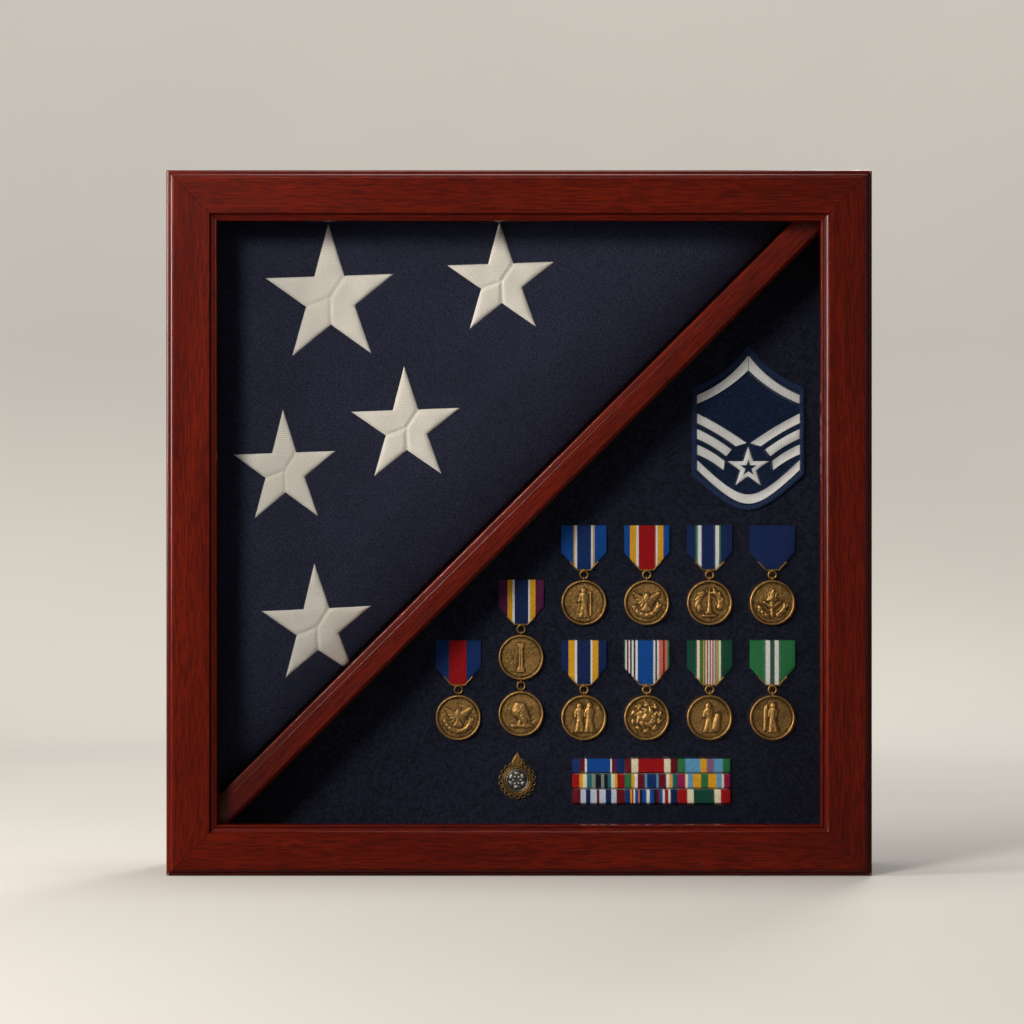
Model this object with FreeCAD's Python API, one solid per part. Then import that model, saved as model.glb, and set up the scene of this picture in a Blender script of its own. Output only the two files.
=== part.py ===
import FreeCAD, Part
import math
import os

from FreeCAD import Vector

# Square display case for a folded flag and medals, in millimetres.
# X runs to the right, the glazed front faces -Y, Z is up, and the origin is the middle of the base.

# Case
CASE_SIZE = 534.0
CASE_DEPTH = 92.0
SIDE_THICKNESS = 18.0
FIT = 0.3
SMALL_ROUND_SIDES = 12
LARGE_ROUND_SIDES = 40

# Front moulding
MOULDING_WIDTH = 38.5
MOULDING_DEPTH = 20.0
MITRE_GAP = 0.1
OUTER_BEAD = 2.4
UPPER_BEAD = 3.0
BEAD_STEP = 0.6
QUIRK = 0.4
COVE = 3.0
LIP_BEAD = 1.05
RABBET_WIDTH = 10.5
RABBET_DEPTH = 6.0
GLASS_THICKNESS = 2.5
GLASS_PLAY = 0.5
STOP_WIDTH = 8.0
V_NAIL_LEG = 4.0
V_NAIL_STEEL = 0.6
V_NAIL_HEIGHT = 8.0
V_NAIL_PLACES = (10.0, 22.0)

# Sliding back panel
PANEL_THICKNESS = 4.0
PANEL_PLAY = 0.3
GROOVE_DEPTH = 6.0
GROOVE_REAR_WALL = 8.0
PANEL_SIDE_PLAY = 0.4
PANEL_TOP_INSET = 0.5
THUMB_RECESS_WIDTH = 44.0
THUMB_RECESS_HEIGHT = 10.0
THUMB_RECESS_DEPTH = 1.5
THUMB_RECESS_DROP = 30.0
THUMB_RECESS_CORNER = 4.5

# Corner and divider dowels
DOWEL_RADIUS = 3.5
DOWEL_DEPTH = 9.0
SIDE_DOWEL_INSET = 20.0
DIVIDER_DOWEL_INSET = 9.0
DIVIDER_DOWEL_EDGE = 10.0

# Divider
DIVIDER_WIDTH = 21.0
DIVIDER_OFFSET = 4.5
DIVIDER_ROUND = 1.8
DIVIDER_GROOVE_INSET = 3.2
DIVIDER_GROOVE = 0.9
DIVIDER_BEVEL = 2.5

# Folded flag
FLAG_FRONT_SETBACK = 18.0
FLAG_TOP_GAP = 3.0
FLAG_CORNER_RADIUS = 5.0
FLAG_EDGE_ROLL = 14.0
FLAG_DIVIDER_ROLL_SHARE = 0.35
# Depth from the face and inset of each rolled section, as shares of the edge roll
FLAG_FRONT_ROLL = ((0.0, 1.0), (0.15, 0.42), (0.45, 0.1), (1.0, 0.0))
FLAG_BACK_ROLL = ((1.0, 0.0), (0.4, 0.14), (0.0, 0.7))
STAR_THICKNESS = 2.0
STAR_EDGE_SLOPE = 1.2
STAR_INNER_RATIO = 0.382
# Centre X and Z of each star as shares of the case's size, its point radius and its turn in degrees
FLAG_STARS = (
    (-0.2715, 0.8258, 52.0, 2.0),
    (-0.0262, 0.8483, 42.5, 2.5),
    (-0.1648, 0.6376, 44.0, 4.0),
    (-0.3408, 0.5758, 42.0, 3.0),
    (-0.2978, 0.3549, 43.5, 3.0),
)

# Medal board
CLOTH_SETBACK = 41.7
CLOTH_THICKNESS = 1.0
CLOTH_TURNOVER = 0.8
BOARD_THICKNESS = 5.0
BOARD_STOP_SIZE = 8.0
BOARD_STOP_MARGIN = 60.0
SPACER_SIZE = 40.0
SPACER_INSET = 12.0
SPACER_REACH_SHARE = 0.5056

# Medals and their ribbons
MEDAL_RADIUS = 17.5
MEDAL_THICKNESS = 3.0
MEDAL_RIM_WIDTH = 1.7
MEDAL_FIELD_RECESS = 0.7
MEDAL_DROP = 60.0
RIBBON_WIDTH = 35.0
RIBBON_THICKNESS = 1.2
RIBBON_SHOULDER = 21.0
RIBBON_LENGTH = 34.3
RIBBON_TIP_WIDTH = 10.0
LOOP_DROP = 0.9
LOOP_WALL = 0.4
BROOCH_THICKNESS = 1.2
BROOCH_HEIGHT = 6.0
BROOCH_INSET = 1.5
RING_RADIUS = 3.0
RING_WIRE = 0.5
LUG_WALL = 0.4
LUG_LENGTH = 1.6
LUG_BORE_CLEARANCE = 0.6
LINK_LUG_GAP = 1.6
# Places on the board, as shares of the case's size
COLUMN_PITCH_SHARE = 0.0913
RIGHT_COLUMN_SHARE = 0.3682
UPPER_ROW_SHARE = 0.4961
MIDDLE_ROW_SHARE = 0.417
LOWER_ROW_SHARE = 0.329
# Column counted from the right, and the height of the ribbon's top edge
MEDAL_PLACES = (
    (3, UPPER_ROW_SHARE),
    (2, UPPER_ROW_SHARE),
    (1, UPPER_ROW_SHARE),
    (0, UPPER_ROW_SHARE),
    (4, MIDDLE_ROW_SHARE),
    (5, LOWER_ROW_SHARE),
    (3, LOWER_ROW_SHARE),
    (2, LOWER_ROW_SHARE),
    (1, LOWER_ROW_SHARE),
    (0, LOWER_ROW_SHARE),
)
CHAINED_RIBBON = 5

# Chevron patch
PATCH_X_SHARE = 0.3333
PATCH_BOTTOM_SHARE = 0.5178
PATCH_HALF_WIDTH = 43.8
PATCH_HEIGHT = 128.0
PATCH_SHOULDER = 94.8
PATCH_LOWER_CORNER = 28.0
PATCH_ROOF_SAG = 4.0
PATCH_CHIN_BULGE = 5.0
PATCH_BORDER = 3.4
PATCH_BORDER_THICKNESS = 2.2
PATCH_GROUND_THICKNESS = 1.4
STRIPE_THICKNESS = 0.6
STRIPE_MARGIN = 0.8
STRIPE_HEIGHT = 7.4
ROOF_STRIPE_HEIGHT = 9.2
BAR_PITCH = 12.1
BAR_SLOPE = 31.0
BAR_TOP = 75.5
BAR_COUNT = 3
PATCH_STAR_HEIGHT = 33.0
PATCH_STAR_RADIUS = 16.9
PATCH_STAR_HOLE = 5.2
PATCH_STAR_CLEAR = 19.2

# Oval brooch badge
BADGE_X_SHARE = -0.0024
BADGE_DROP = 34.3
BADGE_RADIUS = 11.6
BADGE_INNER_RADIUS = 8.8
BADGE_THICKNESS = 1.8
BADGE_LOOP_COUNT = 16
BADGE_LOOP_RADIUS = 1.9
BADGE_LOOP_SIDES = 8
BADGE_LEAF_LENGTH = 12.5
BADGE_LEAF_WIDTH = 4.2
BADGE_LEAF_LEAN = 14.0
MEDALLION_THICKNESS = 2.4
MEDALLION_DOME = 1.2
MEDALLION_CREST_RADIUS = 6.5

# Ribbon rack
RACK_X_SHARE = 0.1921
RACK_DROP = 14.4
RACK_COLUMNS = 3
RACK_ROWS = 3
RACK_BAR_WIDTH = 40.4
RACK_BAR_HEIGHT = 11.3
RACK_GAP = 0.6
RACK_BAR_THICKNESS = 1.8
RACK_HOLDER_THICKNESS = 1.0
RACK_HOLDER_MARGIN = 1.5
RACK_BAR_EDGE = 0.5

# Hangers and bumpers on the back
HANGER_HEIGHT = 428.0
STRAP_WIDTH = 8.0
STRAP_LENGTH = 19.0
STRAP_STEEL = 0.8
D_RING_WIRE = 1.0
D_RING_WIRE_SIDES = 6
D_RING_HALF_WIDTH = 6.25
D_RING_CORNER = 2.0
D_RING_SIDE = 1.75
BARREL_CLEARANCE = 0.15
SCREW_DROPS = (5.6, 14.6)
SCREW_HEAD_RADIUS = 2.5
SCREW_HEAD_HEIGHT = 1.4
SCREW_SHANK_RADIUS = 1.4
SCREW_LENGTH = 14.0
BUMPER_RADIUS = 5.0
BUMPER_HEIGHT = 4.0
BUMPER_EDGE = 1.2
BUMPER_LIFT = 14.0

# Levels and edges that follow from the driving sizes
HALF = CASE_SIZE / 2
INNER_HALF = HALF - SIDE_THICKNESS
FRONT_Y = -CASE_DEPTH / 2
REAR_Y = CASE_DEPTH / 2
MOULDING_BACK_Y = FRONT_Y + MOULDING_DEPTH
GROOVE_REAR_Y = REAR_Y - GROOVE_REAR_WALL
GROOVE_FRONT_Y = GROOVE_REAR_Y - PANEL_THICKNESS - 2 * PANEL_PLAY
DIVIDER_FRONT_Y = MOULDING_BACK_Y + FIT
FLAG_FRONT_Y = DIVIDER_FRONT_Y + FLAG_FRONT_SETBACK
CLOTH_Y = DIVIDER_FRONT_Y + CLOTH_SETBACK
RIBBON_MID_Y = CLOTH_Y - BROOCH_THICKNESS - RIBBON_THICKNESS / 2
RING_DROP = RIBBON_LENGTH + LOOP_DROP + RING_RADIUS
LINK_RING_DROP = MEDAL_DROP + MEDAL_RADIUS + LINK_LUG_GAP + RING_RADIUS
LOWER_MEDAL_DROP = LINK_RING_DROP + MEDAL_DROP - RING_DROP
PATCH_CENTRE_X = PATCH_X_SHARE * CASE_SIZE
PATCH_BOTTOM_Z = PATCH_BOTTOM_SHARE * CASE_SIZE
BADGE_X = BADGE_X_SHARE * CASE_SIZE
BADGE_Z = MIDDLE_ROW_SHARE * CASE_SIZE - LOWER_MEDAL_DROP - MEDAL_RADIUS - BADGE_DROP
RACK_CENTRE_X = RACK_X_SHARE * CASE_SIZE
RACK_TOP_Z = LOWER_ROW_SHARE * CASE_SIZE - MEDAL_DROP - MEDAL_RADIUS - RACK_DROP
ROOT_TWO = math.sqrt(2)


def box(x0, x1, y0, y1, z0, z1):
    return Part.makeBox(x1 - x0, y1 - y0, z1 - z0, Vector(x0, y0, z0))


def many_sided(centre, axis, radius, sides):
    """Closed outline of a round piece, with its corners on the circle."""
    across = Vector(1, 0, 0) if axis.x == 0 else Vector(0, 0, 1)
    depth = axis.cross(across)
    corners = []
    for step in range(sides):
        angle = 2 * math.pi * (step + 0.5) / sides
        corners.append(centre + across * (radius * math.cos(angle)) + depth * (radius * math.sin(angle)))
    return Part.makePolygon(corners + corners[:1])


def round_bar(x, y, z, radius, length, direction, sides=SMALL_ROUND_SIDES):
    outline = many_sided(Vector(x, y, z), direction, radius, sides)
    return Part.Face(outline).extrude(direction * length)


def turning_bar(x, y, z, radius, length, direction):
    """True cylinder, for a face that something turns about."""
    return Part.makeCylinder(radius, length, Vector(x, y, z), direction)


def flat_wire(points, y):
    corners = [Vector(x, y, z) for x, z in points]
    return Part.makePolygon(corners + corners[:1])


def plate(points, y0, y1):
    return Part.Face(flat_wire(points, y0)).extrude(Vector(0, y1 - y0, 0))


def line(start, end):
    return Part.LineSegment(start, end).toShape()


def arc(start, middle, end):
    return Part.Arc(start, middle, end).toShape()


def quarter(centre, start, end):
    """Quarter circle from start to end, both given as vectors, round the centre."""
    radius = (start - centre).Length
    toward = (start + end).multiply(0.5).sub(centre).normalize()
    return arc(start, centre + toward.multiply(radius), end)


def turned(shape, degrees):
    """Copy turned about the case's own front-to-back axis."""
    copy = shape.copy()
    copy.rotate(Vector(0, 0, HALF), Vector(0, 1, 0), degrees)
    return copy


def write(node, *solids):
    shape = solids[0] if len(solids) == 1 else Part.makeCompound(list(solids))
    shape.exportStep("parts/" + node + ".step")


def star_points(x, z, radius, turn, inner_ratio=STAR_INNER_RATIO):
    points = []
    for step in range(10):
        reach = radius if step % 2 == 0 else radius * inner_ratio
        angle = math.radians(turn + 36 * step)
        points.append((x - reach * math.sin(angle), z + reach * math.cos(angle)))
    return points


def rounded_wire(points, radius, y):
    """Closed outline of straight runs with the same arc at every corner."""
    corners = [Vector(x, y, z) for x, z in points]
    arcs = []
    for index, corner in enumerate(corners):
        back = (corners[index - 1] - corner).normalize()
        ahead = (corners[(index + 1) % len(corners)] - corner).normalize()
        half_angle = back.getAngle(ahead) / 2
        reach = radius / math.tan(half_angle)
        inward = (back + ahead).normalize()
        near = radius / math.sin(half_angle) - radius
        arcs.append((corner + back * reach, corner + inward * near, corner + ahead * reach))
    edges = []
    for index, (start, middle, end) in enumerate(arcs):
        edges.append(arc(start, middle, end))
        edges.append(line(end, arcs[(index + 1) % len(arcs)][0]))
    return Part.Wire(edges)


# Front moulding and glazing


def moulding_section():
    """Section of the bottom member: width runs up Z from the base, height runs forward from its back."""

    def at(width, height):
        return Vector(-HALF, MOULDING_BACK_Y - height, width)

    flat = MOULDING_DEPTH
    step_height = flat - QUIRK - UPPER_BEAD
    bead_start = OUTER_BEAD + BEAD_STEP
    flat_start = bead_start + UPPER_BEAD
    lip_end = MOULDING_WIDTH
    lip_start = lip_end - 2 * LIP_BEAD
    cove_end = lip_start - QUIRK
    cove_start = cove_end - COVE
    cove_top = flat - QUIRK
    lip_foot = cove_top - COVE - LIP_BEAD
    rabbet = lip_end - RABBET_WIDTH
    edges = [
        line(at(0, 0), at(0, step_height - QUIRK - OUTER_BEAD)),
        quarter(
            at(OUTER_BEAD, step_height - QUIRK - OUTER_BEAD),
            at(0, step_height - QUIRK - OUTER_BEAD),
            at(OUTER_BEAD, step_height - QUIRK),
        ),
        line(at(OUTER_BEAD, step_height - QUIRK), at(bead_start, step_height - QUIRK)),
        line(at(bead_start, step_height - QUIRK), at(bead_start, step_height)),
        quarter(
            at(flat_start, step_height),
            at(bead_start, step_height),
            at(flat_start, step_height + UPPER_BEAD),
        ),
        line(at(flat_start, step_height + UPPER_BEAD), at(flat_start, flat)),
        line(at(flat_start, flat), at(cove_start, flat)),
        line(at(cove_start, flat), at(cove_start, cove_top)),
        quarter(at(cove_end, cove_top), at(cove_start, cove_top), at(cove_end, cove_top - COVE)),
        line(at(cove_end, cove_top - COVE), at(lip_start, cove_top - COVE)),
        line(at(lip_start, cove_top - COVE), at(lip_start, lip_foot)),
        arc(
            at(lip_start, lip_foot),
            at(lip_start + LIP_BEAD, lip_foot + LIP_BEAD),
            at(lip_end, lip_foot),
        ),
        line(at(lip_end, lip_foot), at(lip_end, RABBET_DEPTH)),
        line(at(lip_end, RABBET_DEPTH), at(rabbet, RABBET_DEPTH)),
        line(at(rabbet, RABBET_DEPTH), at(rabbet, 0)),
        line(at(rabbet, 0), at(0, 0)),
    ]
    return Part.Face(Part.Wire(edges))


def mitred(outer, inner, gap, y0, y1):
    """Trapezium block of the bottom member between two distances from the case's edge."""
    points = [
        (-HALF + outer + gap, outer),
        (HALF - outer - gap, outer),
        (HALF - inner - gap, inner),
        (-HALF + inner + gap, inner),
    ]
    return plate(points, y0, y1)


def v_nails():
    """Pairs of folded steel wedges driven into the mitres from behind."""
    nails = []
    for place in V_NAIL_PLACES:
        outline = [
            (0, 0),
            (V_NAIL_LEG, V_NAIL_LEG),
            (V_NAIL_LEG + V_NAIL_STEEL, V_NAIL_LEG),
            (V_NAIL_STEEL, 0),
            (V_NAIL_LEG + V_NAIL_STEEL, -V_NAIL_LEG),
            (V_NAIL_LEG, -V_NAIL_LEG),
        ]
        points = []
        for along, across in outline:
            x = -HALF + place + (along - across) / ROOT_TWO
            z = place + (along + across) / ROOT_TWO
            points.append((x, z))
        nail = plate(points, MOULDING_BACK_Y - V_NAIL_HEIGHT, MOULDING_BACK_Y)
        nails += [turned(nail, quarter_turn) for quarter_turn in (0, 90, 180, 270)]
    return nails


def make_moulding():
    nails = v_nails()
    write("mitre_v_nails", *nails)
    bar = moulding_section().extrude(Vector(CASE_SIZE, 0, 0))
    member = bar.common(mitred(0, MOULDING_WIDTH, MITRE_GAP, FRONT_Y, MOULDING_BACK_Y))
    for name, degrees in (("bottom", 0), ("left", 90), ("top", 180), ("right", 270)):
        write(name + "_moulding", turned(member, degrees).cut(nails))


def make_glazing():
    sight = HALF - MOULDING_WIDTH
    rabbet_front = MOULDING_BACK_Y - RABBET_DEPTH
    glass_half = sight + RABBET_WIDTH - GLASS_PLAY
    glass_back = rabbet_front + GLASS_THICKNESS
    pane = box(-glass_half, glass_half, rabbet_front, glass_back, HALF - glass_half, HALF + glass_half)
    write("glass_pane", pane)
    outer = MOULDING_WIDTH - RABBET_WIDTH
    stop = mitred(outer, outer + STOP_WIDTH, MITRE_GAP, glass_back, MOULDING_BACK_Y)
    write("glass_stops", *[turned(stop, degrees) for degrees in (0, 90, 180, 270)])


# Box sides and back panel


def side_dowel(sign, z, y):
    start = sign * (INNER_HALF - DOWEL_DEPTH)
    return round_bar(start, y, z, DOWEL_RADIUS, 2 * DOWEL_DEPTH, Vector(sign, 0, 0))


def make_sides(divider_pegs):
    base_z = SIDE_THICKNESS / 2
    head_z = CASE_SIZE - base_z
    front_peg = MOULDING_BACK_Y + SIDE_DOWEL_INSET
    rear_peg = GROOVE_FRONT_Y - SIDE_DOWEL_INSET
    pegs = []
    for sign in (-1, 1):
        for z in (base_z, head_z):
            pegs += [side_dowel(sign, z, y) for y in (front_peg, rear_peg)]
    write("side_dowels", *pegs)
    pegs = pegs + divider_pegs
    groove_half = INNER_HALF + GROOVE_DEPTH
    groove_foot = SIDE_THICKNESS - GROOVE_DEPTH
    groove = box(-groove_half, groove_half, GROOVE_FRONT_Y, GROOVE_REAR_Y, groove_foot, CASE_SIZE)
    screws = [solid for sign in (-1, 1) for solid in hanger_screws(sign)]
    for name, sign in (("left", -1), ("right", 1)):
        inner = sign * INNER_HALF
        outer = sign * HALF
        board = box(min(inner, outer), max(inner, outer), MOULDING_BACK_Y, REAR_Y, 0, CASE_SIZE)
        write(name + "_side", board.cut([groove] + pegs + screws))
    base = box(-INNER_HALF, INNER_HALF, MOULDING_BACK_Y, REAR_Y, 0, SIDE_THICKNESS)
    write("bottom_side", base.cut([groove] + pegs))
    head_foot = CASE_SIZE - SIDE_THICKNESS
    head = box(-INNER_HALF, INNER_HALF, MOULDING_BACK_Y, GROOVE_FRONT_Y, head_foot, CASE_SIZE)
    write("top_side", head.cut(pegs))


def make_back_panel():
    half_width = INNER_HALF + GROOVE_DEPTH - PANEL_SIDE_PLAY
    foot = SIDE_THICKNESS - GROOVE_DEPTH + PANEL_PLAY
    head = CASE_SIZE - PANEL_TOP_INSET
    front = GROOVE_FRONT_Y + PANEL_PLAY
    back = front + PANEL_THICKNESS
    panel = box(-half_width, half_width, front, back, foot, head)
    recess_top = head - THUMB_RECESS_DROP
    corners = [
        (-THUMB_RECESS_WIDTH / 2, recess_top - THUMB_RECESS_HEIGHT),
        (THUMB_RECESS_WIDTH / 2, recess_top - THUMB_RECESS_HEIGHT),
        (THUMB_RECESS_WIDTH / 2, recess_top),
        (-THUMB_RECESS_WIDTH / 2, recess_top),
    ]
    outline = rounded_wire(corners, THUMB_RECESS_CORNER, back - THUMB_RECESS_DEPTH)
    recess = Part.Face(outline).extrude(Vector(0, THUMB_RECESS_DEPTH, 0))
    write("back_panel", panel.cut(recess))


# Divider, flag and medal board


def divider_point(across, y, along):
    """Point of the divider: across its width to the upper left, and along it to the upper right."""
    return Vector((along - across) / ROOT_TWO, y, HALF + (along + across) / ROOT_TWO)


def divider_pegs():
    """Dowels from the divider's lower end into the left side, and from its upper end into the top."""
    pegs = []
    front_peg = DIVIDER_FRONT_Y + DIVIDER_DOWEL_EDGE
    rear_peg = GROOVE_FRONT_Y - DIVIDER_DOWEL_EDGE
    low = SIDE_THICKNESS + DIVIDER_DOWEL_INSET
    high = CASE_SIZE - SIDE_THICKNESS - DOWEL_DEPTH
    for y in (front_peg, rear_peg):
        left_start = -INNER_HALF - DOWEL_DEPTH
        pegs.append(round_bar(left_start, y, low, DOWEL_RADIUS, 2 * DOWEL_DEPTH, Vector(1, 0, 0)))
        right_x = INNER_HALF - DIVIDER_DOWEL_INSET
        pegs.append(round_bar(right_x, y, high, DOWEL_RADIUS, 2 * DOWEL_DEPTH, Vector(0, 0, 1)))
    return pegs


def make_divider(pegs):
    half = DIVIDER_WIDTH / 2
    upper = DIVIDER_OFFSET + half
    lower = DIVIDER_OFFSET - half
    front = DIVIDER_FRONT_Y
    back = GROOVE_FRONT_Y
    start = -CASE_SIZE

    def at(across, y):
        return divider_point(across, y, start)

    groove_outer = upper - DIVIDER_GROOVE_INSET
    groove_middle = groove_outer - DIVIDER_GROOVE / 2
    groove_inner = groove_outer - DIVIDER_GROOVE
    edges = [
        line(at(lower, back), at(upper, back)),
        line(at(upper, back), at(upper, front + DIVIDER_ROUND)),
        quarter(
            at(upper - DIVIDER_ROUND, front + DIVIDER_ROUND),
            at(upper, front + DIVIDER_ROUND),
            at(upper - DIVIDER_ROUND, front),
        ),
        line(at(upper - DIVIDER_ROUND, front), at(groove_outer, front)),
        line(at(groove_outer, front), at(groove_middle, front + DIVIDER_GROOVE)),
        line(at(groove_middle, front + DIVIDER_GROOVE), at(groove_inner, front)),
        line(at(groove_inner, front), at(lower + DIVIDER_BEVEL, front)),
        line(at(lower + DIVIDER_BEVEL, front), at(lower, front + DIVIDER_BEVEL)),
        line(at(lower, front + DIVIDER_BEVEL), at(lower, back)),
    ]
    length = 2 * CASE_SIZE / ROOT_TWO
    bar = Part.Face(Part.Wire(edges)).extrude(Vector(length, 0, length))
    low = SIDE_THICKNESS
    high = CASE_SIZE - SIDE_THICKNESS
    inside = box(-INNER_HALF, INNER_HALF, front, back, low, high)
    write("divider", bar.common(inside).cut(pegs))
    write("divider_dowels", *pegs)


def flag_corners(inset):
    """Outline of the folded flag, drawn in from the left side, the top and the divider."""
    left = -INNER_HALF + FIT + inset
    top = CASE_SIZE - SIDE_THICKNESS - FLAG_TOP_GAP - inset
    across = DIVIDER_OFFSET + DIVIDER_WIDTH / 2 + FIT + inset * FLAG_DIVIDER_ROLL_SHARE
    shift = across * ROOT_TWO
    return [(left, HALF + left + shift), (top - HALF - shift, top), (left, top)]


def make_flag():
    front = FLAG_FRONT_Y
    back = GROOVE_FRONT_Y - FIT
    roll = FLAG_EDGE_ROLL
    sections = [(front + depth * roll, inset * roll) for depth, inset in FLAG_FRONT_ROLL]
    sections += [(back - depth * roll, inset * roll) for depth, inset in FLAG_BACK_ROLL]
    wires = [rounded_wire(flag_corners(inset), FLAG_CORNER_RADIUS, y) for y, inset in sections]
    write("flag", Part.makeLoft(wires, True, True))
    face = Part.Face(rounded_wire(flag_corners(roll), FLAG_CORNER_RADIUS, front))
    trim = face.extrude(Vector(0, -STAR_THICKNESS, 0))
    stars = []
    for x_share, z_share, radius, turn in FLAG_STARS:
        x = x_share * CASE_SIZE
        z = z_share * CASE_SIZE
        base = flat_wire(star_points(x, z, radius, turn), front)
        crest = flat_wire(star_points(x, z, radius - STAR_EDGE_SLOPE, turn), front - STAR_THICKNESS)
        stars.append(Part.makeLoft([base, crest], True, True).common(trim).Solids[0])
    write("flag_stars", *stars)


def board_corners(inset):
    """Outline of the medal board between the divider, the right side and the base."""
    right = INNER_HALF - FIT - inset
    foot = SIDE_THICKNESS + FIT + inset
    shift = (DIVIDER_OFFSET - DIVIDER_WIDTH / 2 - FIT - inset) * ROOT_TWO
    return [(foot - HALF - shift, foot), (right, foot), (right, HALF + right + shift)]


def make_medal_board():
    core_front = CLOTH_Y + CLOTH_THICKNESS
    core_back = core_front + BOARD_THICKNESS
    core = plate(board_corners(CLOTH_TURNOVER), core_front, core_back)
    write("medal_board", core)
    write("board_cloth", plate(board_corners(0), CLOTH_Y, core_back).cut(core))
    size = BOARD_STOP_SIZE
    foot_corner, _, head_corner = board_corners(0)
    stop_front = CLOTH_Y - size
    foot_start = foot_corner[0] + BOARD_STOP_MARGIN
    foot = SIDE_THICKNESS
    base_stop = box(foot_start, INNER_HALF, stop_front, CLOTH_Y, foot, foot + size)
    side_head = head_corner[1] - BOARD_STOP_MARGIN
    side_stop = box(INNER_HALF - size, INNER_HALF, stop_front, CLOTH_Y, foot + size, side_head)
    write("board_stops", base_stop, side_stop)
    near = INNER_HALF - SPACER_INSET - SPACER_SIZE
    low = SIDE_THICKNESS + SPACER_INSET
    spacers = []
    reach = SPACER_REACH_SHARE * CASE_SIZE
    for x, z in ((near, low), (near - reach, low), (near, low + reach)):
        spacers.append(box(x, x + SPACER_SIZE, core_back, GROOVE_FRONT_Y, z, z + SPACER_SIZE))
    write("board_spacers", *spacers)


# Medals


def ring_at(x, z):
    """Ring of square wire that faces the front."""
    front = RIBBON_MID_Y - RING_WIRE
    along = Vector(0, 1, 0)
    whole = round_bar(x, front, z, RING_RADIUS + RING_WIRE, 2 * RING_WIRE, along, LARGE_ROUND_SIDES)
    hole = turning_bar(x, front, z, RING_RADIUS - RING_WIRE, 2 * RING_WIRE, along)
    return whole.cut(hole)


def make_ribbon(number, x, top):
    half = RIBBON_WIDTH / 2
    tip = RIBBON_TIP_WIDTH / 2
    foot = top - RIBBON_LENGTH
    outline = [
        (x - half, top),
        (x - half, top - RIBBON_SHOULDER),
        (x - tip, foot),
        (x + tip, foot),
        (x + half, top - RIBBON_SHOULDER),
        (x + half, top),
    ]
    front = RIBBON_MID_Y - RIBBON_THICKNESS / 2
    drape = plate(outline, front, front + RIBBON_THICKNESS)
    loop, bore = lug(x, foot - LOOP_DROP, LOOP_WALL, foot)
    write("ribbon_" + str(number), drape.fuse(loop).cut(bore))


def lug(x, z, wall, far_end):
    """Block that goes round a ring's wire and runs on to the piece that carries it, and its bore."""
    half = LUG_LENGTH / 2
    bore_radius = RING_WIRE + LUG_BORE_CLEARANCE
    reach = bore_radius + wall
    low = min(z - reach, far_end)
    high = max(z + reach, far_end)
    block = box(x - half, x + half, RIBBON_MID_Y - reach, RIBBON_MID_Y + reach, low, high)
    bore = round_bar(x - half, RIBBON_MID_Y, z, bore_radius, LUG_LENGTH, Vector(1, 0, 0))
    return block, bore


def make_medal(number, x, centre, ring_z, link_z=None):
    """Struck disc with a raised rim and a recessed field; a linked medal has a second lug below."""
    front = RIBBON_MID_Y - MEDAL_THICKNESS / 2
    along = Vector(0, 1, 0)
    disc = round_bar(x, front, centre, MEDAL_RADIUS, MEDAL_THICKNESS, along, LARGE_ROUND_SIDES)
    field_radius = MEDAL_RADIUS - MEDAL_RIM_WIDTH
    field = round_bar(x, front, centre, field_radius, MEDAL_FIELD_RECESS, along, LARGE_ROUND_SIDES)
    block, bore = lug(x, ring_z - RING_RADIUS, LUG_WALL, centre + field_radius)
    blocks = [block]
    bores = [bore]
    if link_z is not None:
        link_block, link_bore = lug(x, link_z + RING_RADIUS, LUG_WALL, centre - field_radius)
        blocks.append(link_block)
        bores.append(link_bore)
    write("medal_" + str(number), disc.fuse(blocks).cut([field] + bores))


def make_medals():
    rings = []
    bars = []
    for number, (column, row_share) in enumerate(MEDAL_PLACES, start=1):
        x = (RIGHT_COLUMN_SHARE - column * COLUMN_PITCH_SHARE) * CASE_SIZE
        top = row_share * CASE_SIZE
        make_ribbon(number, x, top)
        ring_z = top - RING_DROP
        rings.append(ring_at(x, ring_z))
        bar_half = RIBBON_WIDTH / 2 - BROOCH_INSET
        bar_top = top - BROOCH_INSET
        bar_back = CLOTH_Y - BROOCH_THICKNESS
        bars.append(box(x - bar_half, x + bar_half, bar_back, CLOTH_Y, bar_top - BROOCH_HEIGHT, bar_top))
        link_z = None
        if number == CHAINED_RIBBON:
            link_z = top - LINK_RING_DROP
            write("link_ring", ring_at(x, link_z))
            make_medal(len(MEDAL_PLACES) + 1, x, top - LOWER_MEDAL_DROP, link_z)
        make_medal(number, x, top - MEDAL_DROP, ring_z, link_z)
    write("suspension_rings", *rings)
    write("brooch_bars", *bars)


# Patch, badge and ribbon rack


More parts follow.
